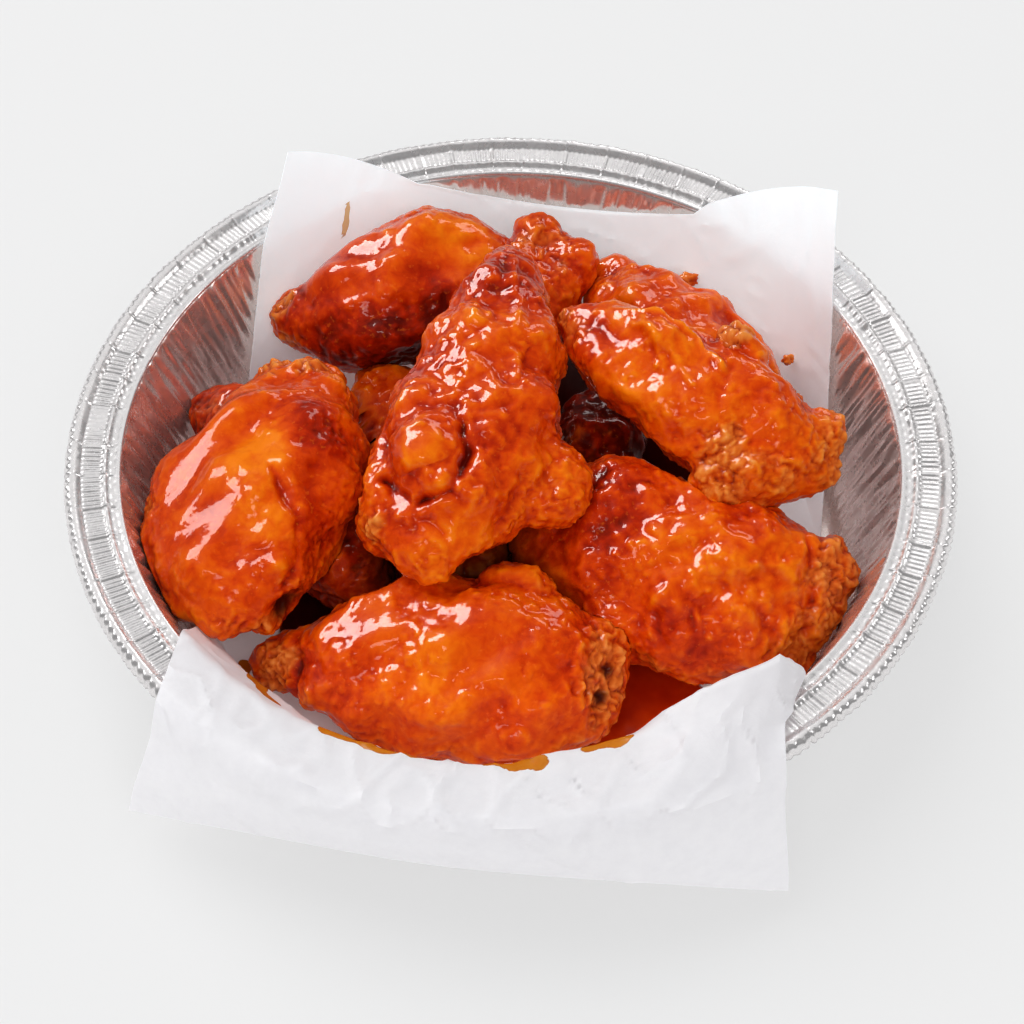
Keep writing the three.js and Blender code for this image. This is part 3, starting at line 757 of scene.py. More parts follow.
def skin_height(points, wing, skin, crust):
    """How far the skin rises. Where it is smooth: swells and lumps of noise, pebbles, round blisters and a
    grain. Where it is crust: swells, folds of |noise|, and two sizes of domes. Then the named bumps and
    lines, each height * exp(-(distance / radius)^2)."""
    salt = wing["seed"] * 13
    lumpy = skin["lumpy"]
    bent = warped(points, 8, 1.6, salt)
    swell = waves(SWELL, bent, salt + 1)
    lumps = lumpy * (waves(LUMP, bent, salt + 2) + waves(SMALL_LUMP, bent, salt + 3))
    pebbles, tone = domed(points, PEBBLE[0], salt + 15, (2.5, 0.8), 0.75)
    pebbles = pebbles * smoothstep(tone, 0.2, 1.0)
    pebbles = PEBBLE[1] * pebbles * (0.35 + 0.65 * smoothstep(noise(points, 10, salt + 7), -0.3, 0.3))
    near, tone = cobbles(points, BLISTER[0], salt + 19)
    blisters = BLISTER[1] * hill(near, 0.2) * smoothstep(tone, 0.1, 0.6)
    grain = GRAIN[1] * layered(points, GRAIN[0], salt + 6, 2)
    smooth = swell + lumps + (0.4 + 0.6 * lumpy) * (pebbles + blisters) + grain
    domes, tone = domed(points, DOME[0], salt + 8, (4, 1.7), 0.8)
    bits, small_tone = domed(points, BIT[0], salt + 10, (2, 0.8), 0.8)
    crumbs = DOME[1] * domes * tone, BIT[1] * bits * small_tone
    billow = BILLOW[1] * np.abs(layered(warped(points, 3, 1.2, salt + 14), BILLOW[0], salt + 13, 3))
    craggy = 0.8 * swell + waves(CRAG, bent, salt + 17) + billow + crumbs[0] + crumbs[1] - CRAG_SUNK
    for spot, radius in skin.get("glossy", []):
        far = distance_to(points, wing, spot) + 2 * noise(points, 6, salt + 18)
        smooth = swell + (smooth - swell) * (1 - 0.8 * (1 - smoothstep(far, 0.5 * radius, radius)))
    height = smooth * (1 - crust) + craggy * crust
    for spot, radius, high in skin.get("bumps", []):
        height += high * hill(distance_to(points, wing, spot), radius)
    waved = warped(points, 5, 0.9, salt + 12)
    for spots, width, high in skin.get("lines", []):
        height += high * hill(line_distance(waved, [place_on(wing, spot) for spot in spots]), width)
    return height


def painted_heap_shade(points):
    """Painted shade: 1 low in the middle of the heap, where the wings shade each other, falling to 0 at its
    sides and its top.
    """
    out = np.linalg.norm((points[:, :2] - HEAP_MIDDLE) / HEAP_STRETCH, axis=1)
    return (1 - smoothstep(out, 36, 54)) * (1 - smoothstep(points[:, 2], 17, 33))


def near_boxes(a, b, room=1.0):
    """Whether the boxes round two arrays of points come within room of each other."""
    return bool(np.all(a.min(0) - room < b.max(0)) and np.all(b.min(0) - room < a.max(0)))


def moved_out(piece, points, other, farthest):
    """The piece with the points that lie inside another surface, or too close to it, brought out to it,
    fully where that moves them little, and less the nearer the way is to farthest."""
    clear = piece.modifiers.new("clear", "SHRINKWRAP")
    clear.target = other
    clear.wrap_method = "NEAREST_SURFACEPOINT"
    clear.wrap_mode = "OUTSIDE"
    clear.offset = CLEARANCE
    mesh = finished_mesh(piece)
    moved, _ = read_mesh(mesh)
    far = np.linalg.norm(moved - points, axis=1)
    points = points + (moved - points) * (1 - smoothstep(far, 0.6 * farthest, farthest))[:, None]
    move_mesh(mesh, points)
    return mesh, points


def eased(points, free, edges):
    """The points with those that were pushed well away from where they lay free, and their neighbours, drawn
    to the mean of the points round them, so that no skin is left stretched."""
    pushed = smoothstep(np.linalg.norm(points - free, axis=1), 1.5, 4.0)[:, None]
    pushed = np.clip(1.5 * spread_means(pushed, edges, 6), 0, 1)
    return points + (spread_means(points, edges, 12) - points) * pushed


def skin_values(points, normals, edges):
    """How proud each point stands of its close and of its wide surroundings, 0.5 where it is level."""
    close_mean = spread_means(points, edges, 6)
    wide_mean = spread_means(close_mean, edges, 40)
    proud = 0.5 + np.sum((points - close_mean) * normals, axis=1) / 0.9
    raised = 0.5 + np.sum((points - wide_mean) * normals, axis=1) / 3.0
    return {"proud": np.clip(proud, 0, 1), "raised": np.clip(raised, 0, 1)}


def make_wing(name, wing, skin, keep_clear):
    """The body and its lobes joined by a fine remesh, raised by the skin's height along the normals, and
    moved out of the pieces it lies against."""
    shapes = [wing_body(wing)] + [wing_lobe(wing, spot, radii) for spot, radii in wing["lobes"]]
    piece = mesh_of(name, *joined(shapes), metres=False)
    remesh = piece.modifiers.new("one skin", "REMESH")
    remesh.mode = "VOXEL"
    remesh.voxel_size = skin["fine"] * 1
    soften = piece.modifiers.new("soften", "SMOOTH")
    soften.factor = 0.5
    soften.iterations = SOFTEN_ROUNDS
    mesh = finished_mesh(piece)
    points, normals = read_mesh(mesh)
    crust, crag = crust_share(points, wing, skin)
    depth = sauce_and_shade_tone(points, wing, skin)
    hollow_shade = np.zeros(len(points))
    for spot, radius in skin.get("hollows", []):
        hollow_shade = np.maximum(hollow_shade, 0.95 * hill(distance_to(points, wing, spot), radius, 4))
    points = points + normals * skin_height(points, wing, skin, crust)[:, None]
    move_mesh(mesh, points)
    free = points
    for other, other_points, farthest in keep_clear:
        if near_boxes(points, other_points):
            mesh, points = moved_out(piece, points, other, farthest)
    edges = read_edges(mesh)
    move_mesh(mesh, eased(points, free, edges))
    points, normals = read_mesh(mesh)
    # Painted shade: the colour is darkened to near black low in the heap and in the hollows, kept as "deep".
    deep = np.maximum(0.9 * painted_heap_shade(points), hollow_shade)
    levels = skin_values(points, normals, edges)
    give(mesh, {"crust": crust, "crag": crag, **levels, "amber": depth, "deep": deep})
    mesh.shade_smooth()
    return piece, points


def to_metres(piece):
    """Brings a piece that was worked on in millimetres into metres."""
    move_mesh(piece.data, read_mesh(piece.data)[0] * MM)


# The paper


def chord(radius, s):
    """Half the chord that a line at distance s from the middle cuts from a circle, at least 10."""
    return np.maximum(np.sqrt(np.maximum(radius**2 - s**2, 0)), 10)


def wall_radius(z):
    """The radius that the paper keeps inside the pan's wall at a height."""
    return BASE_RADIUS + (BEAD_RADIUS - BASE_RADIUS) * z / BEAD_HEIGHT - 1.6


def paper_columns(c):
    """The strip's 25 rows of places (row, column, [across, to the back, height]) for columns at shares c:
    from the flap's foot over the front rim, down the wall, across the base and up the back wall."""
    rows = []

    def spread(row):
        v = np.full_like(c, row / (PAPER_ROWS - 1))
        return along(PAPER_LEFT, v) * (1 - c) + along(PAPER_RIGHT, v) * c

    def add(place):
        rows.append(np.stack([spread(len(rows)), place[0] + 0 * c, place[1] + 0 * c], axis=1))

    def between(a, b, share):
        return a[0] + (b[0] - a[0]) * share, a[1] + (b[1] - a[1]) * share

    # The flap, which hangs outside the rim and flares at its sides.
    rim = chord(RIM_RADIUS + OFF_RIM, spread(4))
    s = spread(0)
    foot = (-(rim + 1.4 + FLAP_FLARE * np.abs(s / 80) ** 3), FLAP_MIDDLE - FLAP_DROOP * (s / 76) ** 2)
    for share in (0, 0.25, 0.5, 0.75):
        t, z = between(foot, (-rim, PAN_HEIGHT - 2), share)
        add((t - OFF_RIM * math.sin(math.pi * share), z))
    add((-rim, PAN_HEIGHT - 1.5))

    # Over the crest and the flange to the crease, or at the right straight up to the standing fold.
    crest = (-chord(RIM_RADIUS - 2.4, spread(5)), PAN_HEIGHT + 0.9)
    add(crest)
    place = np.minimum(c / RIDGE_COLUMN, 1)
    past = np.maximum(0, (c - RIDGE_COLUMN) / (1 - RIDGE_COLUMN))
    crease_height = along(CREASE_HEIGHT, place) * (1 - past) + CORNER_HEIGHT * past
    reach = chord(wall_radius(np.minimum(crease_height, BEAD_HEIGHT - 1)), spread(10))
    crease_inset = along(CREASE_INSET, place) * (1 - past) - CORNER_REACH * past
    crease = (crease_inset - reach, crease_height)
    raised = smoothstep(c, *STANDING)
    flange = (-chord(RIM_RADIUS - 7, spread(6)), PAN_HEIGHT + 0.4)
    add(between(flange, between(crest, crease, 0.3), raised))
    bend = (-(chord(BEAD_RADIUS - 0.7, spread(7)) - along(BEND_INSET, place)), BEAD_HEIGHT + 1.1)
    edge = between(bend, between(crest, crease, 0.55), raised)
    add(edge)
    add(between(edge, crease, 0.35))
    add(between(edge, crease, 0.7))
    add(crease)

    # Down the front wall, across the base and up the back wall.
    front, back = (chord(BASE_RADIUS - 4.1, spread(row)) for row in (12, 17))
    down = between(crease, (-front, PAPER_FLOOR), 0.6 - 0.4 * past)
    add((down[0] + 3 * past, down[1]))
    for share in (0, 0.2, 0.4, 0.6, 0.8, 1):
        add((-front + (front + back) * share, PAPER_FLOOR))
    for share in (0.12, 0.4, 0.7, 1):
        s = spread(len(rows))
        on_wall = np.minimum(BACK_CLIMB + BACK_RISE * s**2, BEAD_HEIGHT + 1)
        z = PAPER_FLOOR + share * (on_wall - PAPER_FLOOR)
        add((chord(wall_radius(z), s), z))
    top = rows[-1][:, 1], rows[-1][:, 2]
    for share in (0.33, 0.67, 1):
        s = spread(len(rows))
        beyond = np.maximum(0.8, 0.78 * (np.abs(s) - 36) + 0.03 * s)
        add((top[0] + 0.7 * beyond * share, top[1] + 0.7 * beyond * share))
    return np.array(rows)


def through_rows(rows, spacing):
    """Points along each column about spacing apart, on cubics whose slopes at the rows are the harmonic
    mean of the slopes before and after them, or 0 at a turn, so that nothing overshoots, and the number
    of the row that each lies at."""
    steps = np.linalg.norm(np.diff(rows, axis=0), axis=-1).mean(axis=1)
    slopes = np.diff(rows, axis=0) / steps[:, None, None]
    a, b = slopes[:-1], slopes[1:]
    w1 = (2 * steps[1:] + steps[:-1])[:, None, None]
    w2 = (steps[1:] + 2 * steps[:-1])[:, None, None]
    same = a * b > 0
    with np.errstate(divide="ignore", invalid="ignore"):
        mean = np.where(same, (w1 + w2) / (w1 / a + w2 / b), 0)
    tangents = np.concatenate([slopes[:1], mean, slopes[-1:]])
    out, numbers = [], []
    for k, step in enumerate(steps):
        count = max(2, round(step / spacing))
        t = (np.arange(count) / count)[:, None, None]
        numbers.append(k + t[:, 0, 0])
        p, q = rows[k], rows[k + 1]
        m, n = tangents[k] * step, tangents[k + 1] * step
        out.append(
            (2 * t**3 - 3 * t**2 + 1) * p + (t**3 - 2 * t**2 + t) * m
            + (3 * t**2 - 2 * t**3) * q + (t**3 - t**2) * n
        )
    return np.concatenate(out + [rows[-1:]]), np.concatenate(numbers + [[len(steps)]])


def fold_corner(grid, numbers, past, rows):
    """Two flat facets past the ridge, between the rows at the bend and at the crease: they meet in the
    line from the ridge's top to the strip's edge at the bend."""
    low, high = BEND_ROW, CREASE_ROW
    base, edge = rows[low, -2:], rows[high, -2:]
    (start, corner), (tip, end) = (base[1], base[0]), (edge[1], edge[0])
    i = np.where((numbers >= low) & (numbers <= high))[0]
    j = np.where(past > 0)[0]
    b = ((numbers[i] - low) / (high - low))[:, None, None]
    a = past[j][None, :, None]
    flat = start + a * (corner - start) + b * (tip - start)
    turned_down = end + (1 - a) * (tip - end) + (1 - b) * (corner - end)
    grid = grid.copy()
    grid[np.ix_(i, j)] = np.where(a + b <= 1, flat, turned_down)
    return grid


def grid_normals(grid):
    """Unit normals of a grid of points (row, column, 3), from its differences both ways."""
    down = np.gradient(grid, axis=0)
    over = np.gradient(grid, axis=1)
    normals = np.cross(over, down)
    return normals / np.maximum(np.linalg.norm(normals, axis=-1, keepdims=True), 1e-9)


def crinkles(grid, numbers):
    """How far the paper rises from its smooth surface where it is free of the pan: soft swells, long folds
    along the crests of noise, a fine unevenness, and sharp wrinkles at the fold and at the back."""
    flat = grid.reshape(-1, 3)
    row = np.repeat(numbers, grid.shape[1])
    bent = warped(flat, 30, 6, 900)
    soft = noise(bent, 40, 901) * 0.35
    crests = 1 - np.abs(noise(bent * [1, 0.6, 1], 22, 902))
    folds = (smoothstep(crests, 0.9, 1.0) - 0.05) * 0.35
    fine = 0.05 * noise(flat, 5, 903)
    at_fold = smoothstep(row, 1.5, 4) * (1 - smoothstep(row, 9, 11))
    at_back = 0.7 * smoothstep(row, 17.5, 19)
    crests = 1 - np.abs(noise(warped(flat, 9, 2.5, 904) * [1, 0.7, 1], 11, 905))
    wrinkles = (smoothstep(crests, 0.8, 1.0) - 0.2) * 0.45 * (at_fold + at_back)
    free = smoothstep(flat[:, 2], PAPER_FLOOR + 1.5, PAPER_FLOOR + 14)
    lift = (0.6 * soft + folds + fine + wrinkles) * free
    return np.maximum(lift, -0.15).reshape(*grid.shape[:2], 1)


def paper_grid(spacing=1.25):
    """The strip's middle surface: the columns' cubics with the folded corner, the edge below it tucked in
    towards the last column before the ridge, turned with the strip, and crinkled."""
    count = round(RIDGE_COLUMN * PAPER_WIDTH / spacing)
    c = np.append(np.linspace(0, RIDGE_COLUMN, count), np.linspace(RIDGE_COLUMN, 1, 9)[1:])
    rows = paper_columns(np.append(c, RIDGE_COLUMN))
    ridge, edge = rows[:, -1:], rows[:, -2:-1]
    past = np.clip((c - RIDGE_COLUMN) / (1 - RIDGE_COLUMN), 0, 1)
    level = np.where(past[:, None] > 0, ridge + (edge - ridge) * past[:, None], rows[:, :-1])
    grid, numbers = through_rows(level, spacing)
    grid = fold_corner(grid, numbers, past, rows)
    tucked = smoothstep(numbers, CREASE_ROW, CREASE_ROW + 1) * (1 - smoothstep(numbers, 13, 17))
    under = np.argmax(past > 0) - 1
    pull = 0.9 * tucked[:, None, None] * (past[None, :, None] > 0)
    grid = grid + (grid[:, under : under + 1] - grid) * pull
    cos, sin = math.cos(PAPER_TURN), math.sin(PAPER_TURN)
    x, y, z = grid[..., 0], grid[..., 1], grid[..., 2]
    grid = np.stack([x * cos - y * sin, x * sin + y * cos, z], axis=-1)
    return grid + grid_normals(grid) * crinkles(grid, numbers)


def stained(points):
    """1 on a stain's line falling to 0 at twice its half width, the widths waved by noise, and how dark the
    strongest stain is: the darkest, under the heap, are partly painted shade."""
    share, dark = np.zeros(len(points)), np.zeros(len(points))
    waved = 0.9 * noise(points, 5, 950) + 0.5 * noise(points, 2.2, 951)
    for places, width, tone in STAINS:
        far = line_distance(points, [np.array(place, float) for place in places]) + waved * (1 + 0.06 * width)
        one = 1 - np.clip(far / (2 * width), 0, 1)
        dark = np.where(one > share, tone, dark)
        share = np.maximum(share, one)
    return share, dark


def make_paper(grid):
    """Both faces of the strip, half its thickness to each side of the middle surface, and its four edges."""
    rows, columns = grid.shape[:2]
    out = grid_normals(grid) * SHEET / 2
    count = rows * columns
    faces = grid_faces(rows, columns)
    i = np.arange(count).reshape(rows, columns)
    edge = np.concatenate([i[0, :-1], i[:-1, -1], i[-1, :0:-1], i[:0:-1, 0]])
    after = np.roll(edge, -1)
    side = np.stack([edge, edge + count, after + count, after], axis=1)
    points = np.concatenate([(grid + out).reshape(-1, 3), (grid - out).reshape(-1, 3)])
    stain, dark = stained(points)
    # Painted light: a glow share that rises towards the back of the strip, for emission that stands in for
    # light coming through the paper.
    glow_share = smoothstep(points[:, 1], 30, 66) * smoothstep(points[:, 2], 2, 26)
    values = {"stain": stain, "soak_and_shade": dark, "painted_glow": glow_share}
    piece = mesh_of("deli_paper_sheet", points, [*faces, *(faces[:, ::-1] + count), *side], values)
    piece.data.set_sharp_from_angle(angle=math.radians(24))
    return piece


# The pan


def turned(profile, angles, ripple=None):
    """A profile of (radius, height) carried round the axis at the angles; ripple gives what is added to each
    point's radius and height from its row and its angle."""
    profile = np.asarray(profile, float)
    r, z = profile[:, 0][:, None] + 0 * angles, profile[:, 1][:, None] + 0 * angles
    if ripple:
        add_r, add_z = ripple(profile[:, 0][:, None], profile[:, 1][:, None], angles[None, :])
        r, z = r + add_r, z + add_z
    return np.stack([r * np.cos(angles), r * np.sin(angles), z], axis=-1)


def filled_profile(points, spacing):
    """More points along a polyline, about spacing apart."""
    out = []
    for (a, b), (c, d) in zip(points[:-1], points[1:]):
        count = max(1, round(math.hypot(c - a, d - b) / spacing))
        out += [(a + (c - a) * k / count, b + (d - b) * k / count) for k in range(count)]
    return out + [points[-1]]


def ring_noise(angles, radius, size, salt, height=0.0):
    """Noise round a circle, at an angle and a height."""
    angles = np.broadcast_to(angles, np.broadcast_shapes(np.shape(angles), np.shape(height)))
    height = np.broadcast_to(height, angles.shape)
    points = np.stack([radius * np.cos(angles), radius * np.sin(angles), height], axis=-1)
    return noise(points.reshape(-1, 3), size, salt).reshape(angles.shape)


def rim_ripple(r, z, angles):
    """Fine ribs on the flange, stronger in some stretches than in others, folds at irregular crimps, and a
    knurled skirt."""
    uneven = 0.55 + 0.45 * ring_noise(angles, 100, 14, 501)
    slip = 0.9 * ring_noise(angles, 100, 7, 502)
    on_flange = smoothstep(r, 95.6, 97.0) * (1 - smoothstep(r, 103.7, 104.8))
    in_band = smoothstep(r, 98.8, 99.6) * (1 - smoothstep(r, 103.3, 104.3))
    ribs = np.sin(RIBS * angles + 3 * slip)
    inner_ribs = np.sin(RIBS * 0.5 * angles + 4 * slip + 1.5)
    fold = hill(np.abs(np.sin(CRIMPS / 2 * angles + 1.3 * slip)), 0.10)
    dz = RIB_HEIGHT * uneven * ribs * in_band
    dz = dz + INNER_RIB_HEIGHT * inner_ribs * on_flange * (1 - in_band) * uneven
    dz = dz + FOLD_HEIGHT * fold * (on_flange + smoothstep(r, 103.7, 104.8) * 0.5)
    dz = dz - 0.2 * ring_noise(angles, 100, 9, 503, r) * on_flange
    skirt = smoothstep(r, 105.8, 107.0)
    knurl = np.sin(RIBS * 0.62 * angles + 0.9 * z + 2 * slip) * KNURL_DEPTH
    dr = skirt * (knurl - 0.45 * fold + 0.25 * ring_noise(angles, 107, 5, 504, z))
    dz = dz + skirt * 0.18 * ring_noise(angles, 107, 3, 505, z)
    return dr, dz


def make_rim():
    """The bead, the ribbed flange, the rolled crest and the knurled skirt, as one closed band."""
    angles = TURN * np.arange(RIM_SIDES) / RIM_SIDES
    rings = turned(filled_profile(RIM_TOP, RIM_SPACING) + RIM_UNDER, angles, rim_ripple)
    count, sides = rings.shape[:2]
    faces = grid_faces(count, sides, closed=True)[:, ::-1]
    return mesh_of("foil_rim", rings.reshape(-1, 3), [*faces, *band(0, (count - 1) * sides, sides)])


def wall_ripple(r, z, angles):
    """Creases down the wall, hardly slanted, pressed in as the flat disc of foil was drawn up, which end
    below the bead, and a faint unevenness of the base."""
    on_wall = smoothstep(z, 2.0, 8.0)
    slant = angles + 0.0015 * (z - 20) * np.clip(3 * np.cos(angles), -1, 1)
    crease = ring_noise(slant, 89, 2.4, 601, 0.10 * z) + 0.8 * ring_noise(slant, 89, 1.3, 602, 0.10 * z)
    wide = ring_noise(slant, 89, 8, 603, 0.2 * z)
    sharp = np.sign(crease) * np.abs(crease) ** 0.8
    dr = on_wall * (CREASE_DEPTH * sharp * (0.6 + 0.4 * smoothstep(z, 4, 30)) + 0.25 * wide)
    dz = (1 - on_wall) * 0.05 * ring_noise(angles, 60, 8, 604, r)
    return dr * (1 - smoothstep(z, 37.8, 39.6)), np.maximum(dz, 0)


def make_wall():
    """The wall and the base: the inner face from the bead down to the middle of the base, and the outer."""
    base_in = [(radius, BASE_TOP) for radius in BASE_RINGS]
    base_out = [(radius, BASE_UNDER) for radius in BASE_RINGS[::-1]]
    angles = TURN * np.arange(WALL_SIDES) / WALL_SIDES
    face_in = turned(filled_profile(WALL_INNER, INNER_SPACING) + base_in, angles, wall_ripple)
    face_out = turned(base_out + filled_profile(WALL_OUTER, OUTER_SPACING), angles, wall_ripple)
    rings = np.concatenate([face_in, face_out])
    count, sides = rings.shape[:2]
    split = len(face_in)
    outer, last, pole = split * sides, (count - 1) * sides, count * sides
    points = np.concatenate([rings.reshape(-1, 3), [[0, 0, BASE_TOP], [0, 0, BASE_UNDER]]])
    faces = [
        *grid_faces(split, sides, closed=True),
        *grid_faces(count - split, sides, closed=True, start=outer),
        *fan(pole, outer - sides, sides),
        *fan(pole + 1, outer, sides)[:, ::-1],
        *band(last, 0, sides),
    ]
    # Marks the inner face, where the foil's painted reflection of the wings goes.
    inside = np.arange(len(points)) < outer
    return mesh_of("foil_wall", points, faces, {"inside": inside.astype(float)})


# Sauce and crumbs on the paper


def make_pool(name, target, centre, reach, turn, deep, salt):
    """A thin pool: a disc of rings whose outline is an ellipse waved by noise, let down onto the paper, its
    top raised by deep * (1 - share^4) and its underside left on the sheet."""
    rings, sides = POOL_RINGS, POOL_SIDES
    pole = rings * sides
    share = (np.arange(1, rings + 1) / rings)[:, None]
    angle = TURN * np.arange(sides) / sides
    ring = np.stack([np.cos(angle), np.sin(angle), 0 * angle], axis=1)
    waved = 1 + 0.22 * noise(ring + salt, 0.55, salt) + 0.07 * noise(ring + salt, 0.2, salt + 1)
    x = share * (reach[0] * np.cos(angle) * waved)
    y = share * (reach[1] * np.sin(angle) * waved)
    cos, sin = math.cos(turn), math.sin(turn)
    flat = np.stack([x * cos - y * sin, x * sin + y * cos, 0 * x], axis=-1)
    points = np.concatenate([(np.array(centre) + flat).reshape(-1, 3), [centre]]) + [0, 0, POOL_DROP]
    faces = [*grid_faces(rings, sides, closed=True)[:, ::-1], *fan(pole, 0, sides)]
    piece = mesh_of(name, points, faces, metres=False)
    fall = piece.modifiers.new("lie", "SHRINKWRAP")
    fall.target = target
    fall.wrap_method = "PROJECT"
    fall.use_project_x = fall.use_project_y = False
    fall.use_project_z = True
    fall.use_negative_direction = True
    fall.use_positive_direction = False
    lying, normals = read_mesh(finished_mesh(piece))
    bpy.data.objects.remove(piece)
    up = np.where(normals[:, 2:] < 0, -normals, normals)
    level = np.append(np.repeat(share[:, 0], sides), 0)[:, None]
    top = lying + up * (SHEET / 2 + 0.03 + deep * (1 - level**4))
    under = lying + up * (SHEET / 2 + 0.02)
    count = len(lying)
    low = [face[::-1] + count for face in faces]
    edge = band(pole - sides, pole - sides + count, sides)[:, ::-1]
    return mesh_of(name, np.concatenate([top, under]), [*faces, *low, *edge])


def make_crumb(name, centre, size, salt):
    """A crumb of crust: a ball whose radius is size * (1 + 0.5 * coarse noise + 0.3 * fine noise)."""
    rings, sides = CRUMB_RINGS, CRUMB_SIDES
    out = np.concatenate([ball(rings, sides).reshape(-1, 3), [[-1, 0, 0], [1, 0, 0]]])
    waved = 0.5 * noise(out + salt, 0.9, salt) + 0.3 * noise(out + salt, 0.4, salt + 1)
    points = np.array(centre) + out * size * (1 + waved)[:, None]
    points, faces = closed_rings(points[:-2].reshape(rings - 1, sides, 3), points[-2], points[-1])
    full = np.ones(len(points))
    values = {"crust": full, "crag": full, "proud": np.clip(0.5 + waved, 0, 1), "raised": 0.5 * full}
    return mesh_of(name, points, faces, {**values, "amber": 0 * full, "deep": 0 * full})


# Materials: ramps are of (place, colour), all colours linear.

SAUCE_TONES = [
    (0.12, (0.15, 0.006, 0.0004)), (0.36, (0.48, 0.026, 0.0005)), (0.54, (0.70, 0.070, 0.0007)),
    (0.70, (0.82, 0.130, 0.0010)), (0.92, (0.94, 0.24, 0.004)),
]
ORANGE_CRUST = [
    (0.24, (0.25, 0.014, 0.0008)), (0.44, (0.47, 0.046, 0.001)), (0.64, (0.67, 0.100, 0.002)),
    (0.90, (0.82, 0.19, 0.010)),
]
BROWN_CRUST = [
    (0.24, (0.33, 0.045, 0.005)), (0.44, (0.55, 0.105, 0.012)), (0.64, (0.73, 0.19, 0.027)),
    (0.92, (0.87, 0.32, 0.070)),
]
FLECK = (0.95, 0.24, 0.02, 1)
# Painted shade: the near-black colour put low in the heap and in the hollows.
PAINTED_SHADE = (0.035, 0.0025, 0.0006, 1)
POOL_TONES = [(0.3, (0.50, 0.030, 0.001)), (0.6, (0.66, 0.055, 0.001)), (0.8, (0.78, 0.09, 0.003))]
FOIL_TONES = [(0.3, (0.80, 0.78, 0.78)), (0.7, (0.91, 0.885, 0.88))]
# Painted reflection: the warm colour that the wall's inner face takes from the orange wings.
FOIL_PAINTED_REFLECTION = (0.86, 0.75, 0.71, 1)
PAPER_TONES = [(0.3, (0.845, 0.845, 0.88)), (0.7, (0.90, 0.90, 0.93))]
# The darkest end is painted shade under the heap, on paper partly soaked by sauce.
SOAK_AND_SHADE_TONES = [
    (0.0, (0.86, 0.62, 0.30)), (0.3, (0.80, 0.30, 0.02)), (0.55, (0.72, 0.17, 0.006)),
    (0.9, (0.08, 0.005, 0.001)),
]
STAIN_EDGE = (0.42, 0.10, 0.004, 1)
# Painted light: the glow's colour from front to back of the strip, cooler at the back.
PAPER_PAINTED_GLOW = [(0.0, (1, 0.92, 0.94)), (1.0, (0.76, 0.96, 1))]


class Finish:
    """A material and short ways to add to its nodes."""

    def __init__(self, name):
        self.material = bpy.data.materials.new(name)
        self.material.use_nodes = True
        self.tree = self.material.node_tree
        self.tree.nodes.clear()
        self.shader = self.add("ShaderNodeBsdfPrincipled")
        out = self.add("ShaderNodeOutputMaterial")
        self.tree.links.new(self.shader.outputs["BSDF"], out.inputs["Surface"])
        self.places = self.add("ShaderNodeTexCoord").outputs["Object"]

    def add(self, kind, **settings):
        node = self.tree.nodes.new(kind)
        for key, value in settings.items():
            setattr(node, key, value)
        return node

    def put(self, socket, value):
        """Links a value that comes from a node, or sets a plain one."""
        if isinstance(value, bpy.types.NodeSocket):
            self.tree.links.new(value, socket)
        else:
            socket.default_value = value

    def set(self, **values):
        for key, value in values.items():
            self.put(self.shader.inputs[key.replace("_", " ")], value)

    def attribute(self, name):
        return self.add("ShaderNodeAttribute", attribute_name=name).outputs["Fac"]

    def noise(self, size, detail=2.0, rough=0.5, distortion=0.0):
        """Noise whose features are about size millimetres."""
        node = self.add("ShaderNodeTexNoise")
        self.put(node.inputs["Vector"], self.places)
        node.inputs["Scale"].default_value = 1 / (size * MM)
        node.inputs["Detail"].default_value = detail
        node.inputs["Roughness"].default_value = rough
        node.inputs["Distortion"].default_value = distortion
        return node.outputs["Fac"]

    def math(self, kind, a, b):
        node = self.add("ShaderNodeMath", operation=kind)
        self.put(node.inputs[0], a)
        self.put(node.inputs[1], b)
        return node.outputs[0]

    def plus(self, total, *others):
        for other in others:
            total = self.math("ADD", total, other)
        return total

    def times(self, a, b):
        return self.math("MULTIPLY", a, b)

    def centred(self, value):
        return self.math("SUBTRACT", value, 0.5)

    def ranged(self, value, low, high, to_low=0.0, to_high=1.0):
        node = self.add("ShaderNodeMapRange", interpolation_type="SMOOTHSTEP")
        given = {"Value": value, "From Min": low, "From Max": high, "To Min": to_low, "To Max": to_high}
        for key, one in given.items():
            self.put(node.inputs[key], one)
        return node.outputs[0]

    def ramp(self, value, stops):
        node = self.add("ShaderNodeValToRGB")
        self.put(node.inputs[0], value)
        ramp = node.color_ramp
        while len(ramp.elements) < len(stops):
            ramp.elements.new(0.5)
        for element, (place, colour) in zip(ramp.elements, stops):
            element.position = place
            element.color = (*colour, 1)
        return node.outputs["Color"]

    def mixed(self, share, a, b):
        node = self.add("ShaderNodeMix", data_type="RGBA", blend_type="MIX")
        self.put(node.inputs["Factor"], share)
        self.put(node.inputs[6], a)
        self.put(node.inputs[7], b)
        return node.outputs[2]

    def bump(self, height, strength, distance, below=None):
        node = self.add("ShaderNodeBump")
        node.inputs["Strength"].default_value = strength
        node.inputs["Distance"].default_value = distance * MM
        self.put(node.inputs["Height"], height)
        if below is not None:
            self.put(node.inputs["Normal"], below)
        return node.outputs[0]


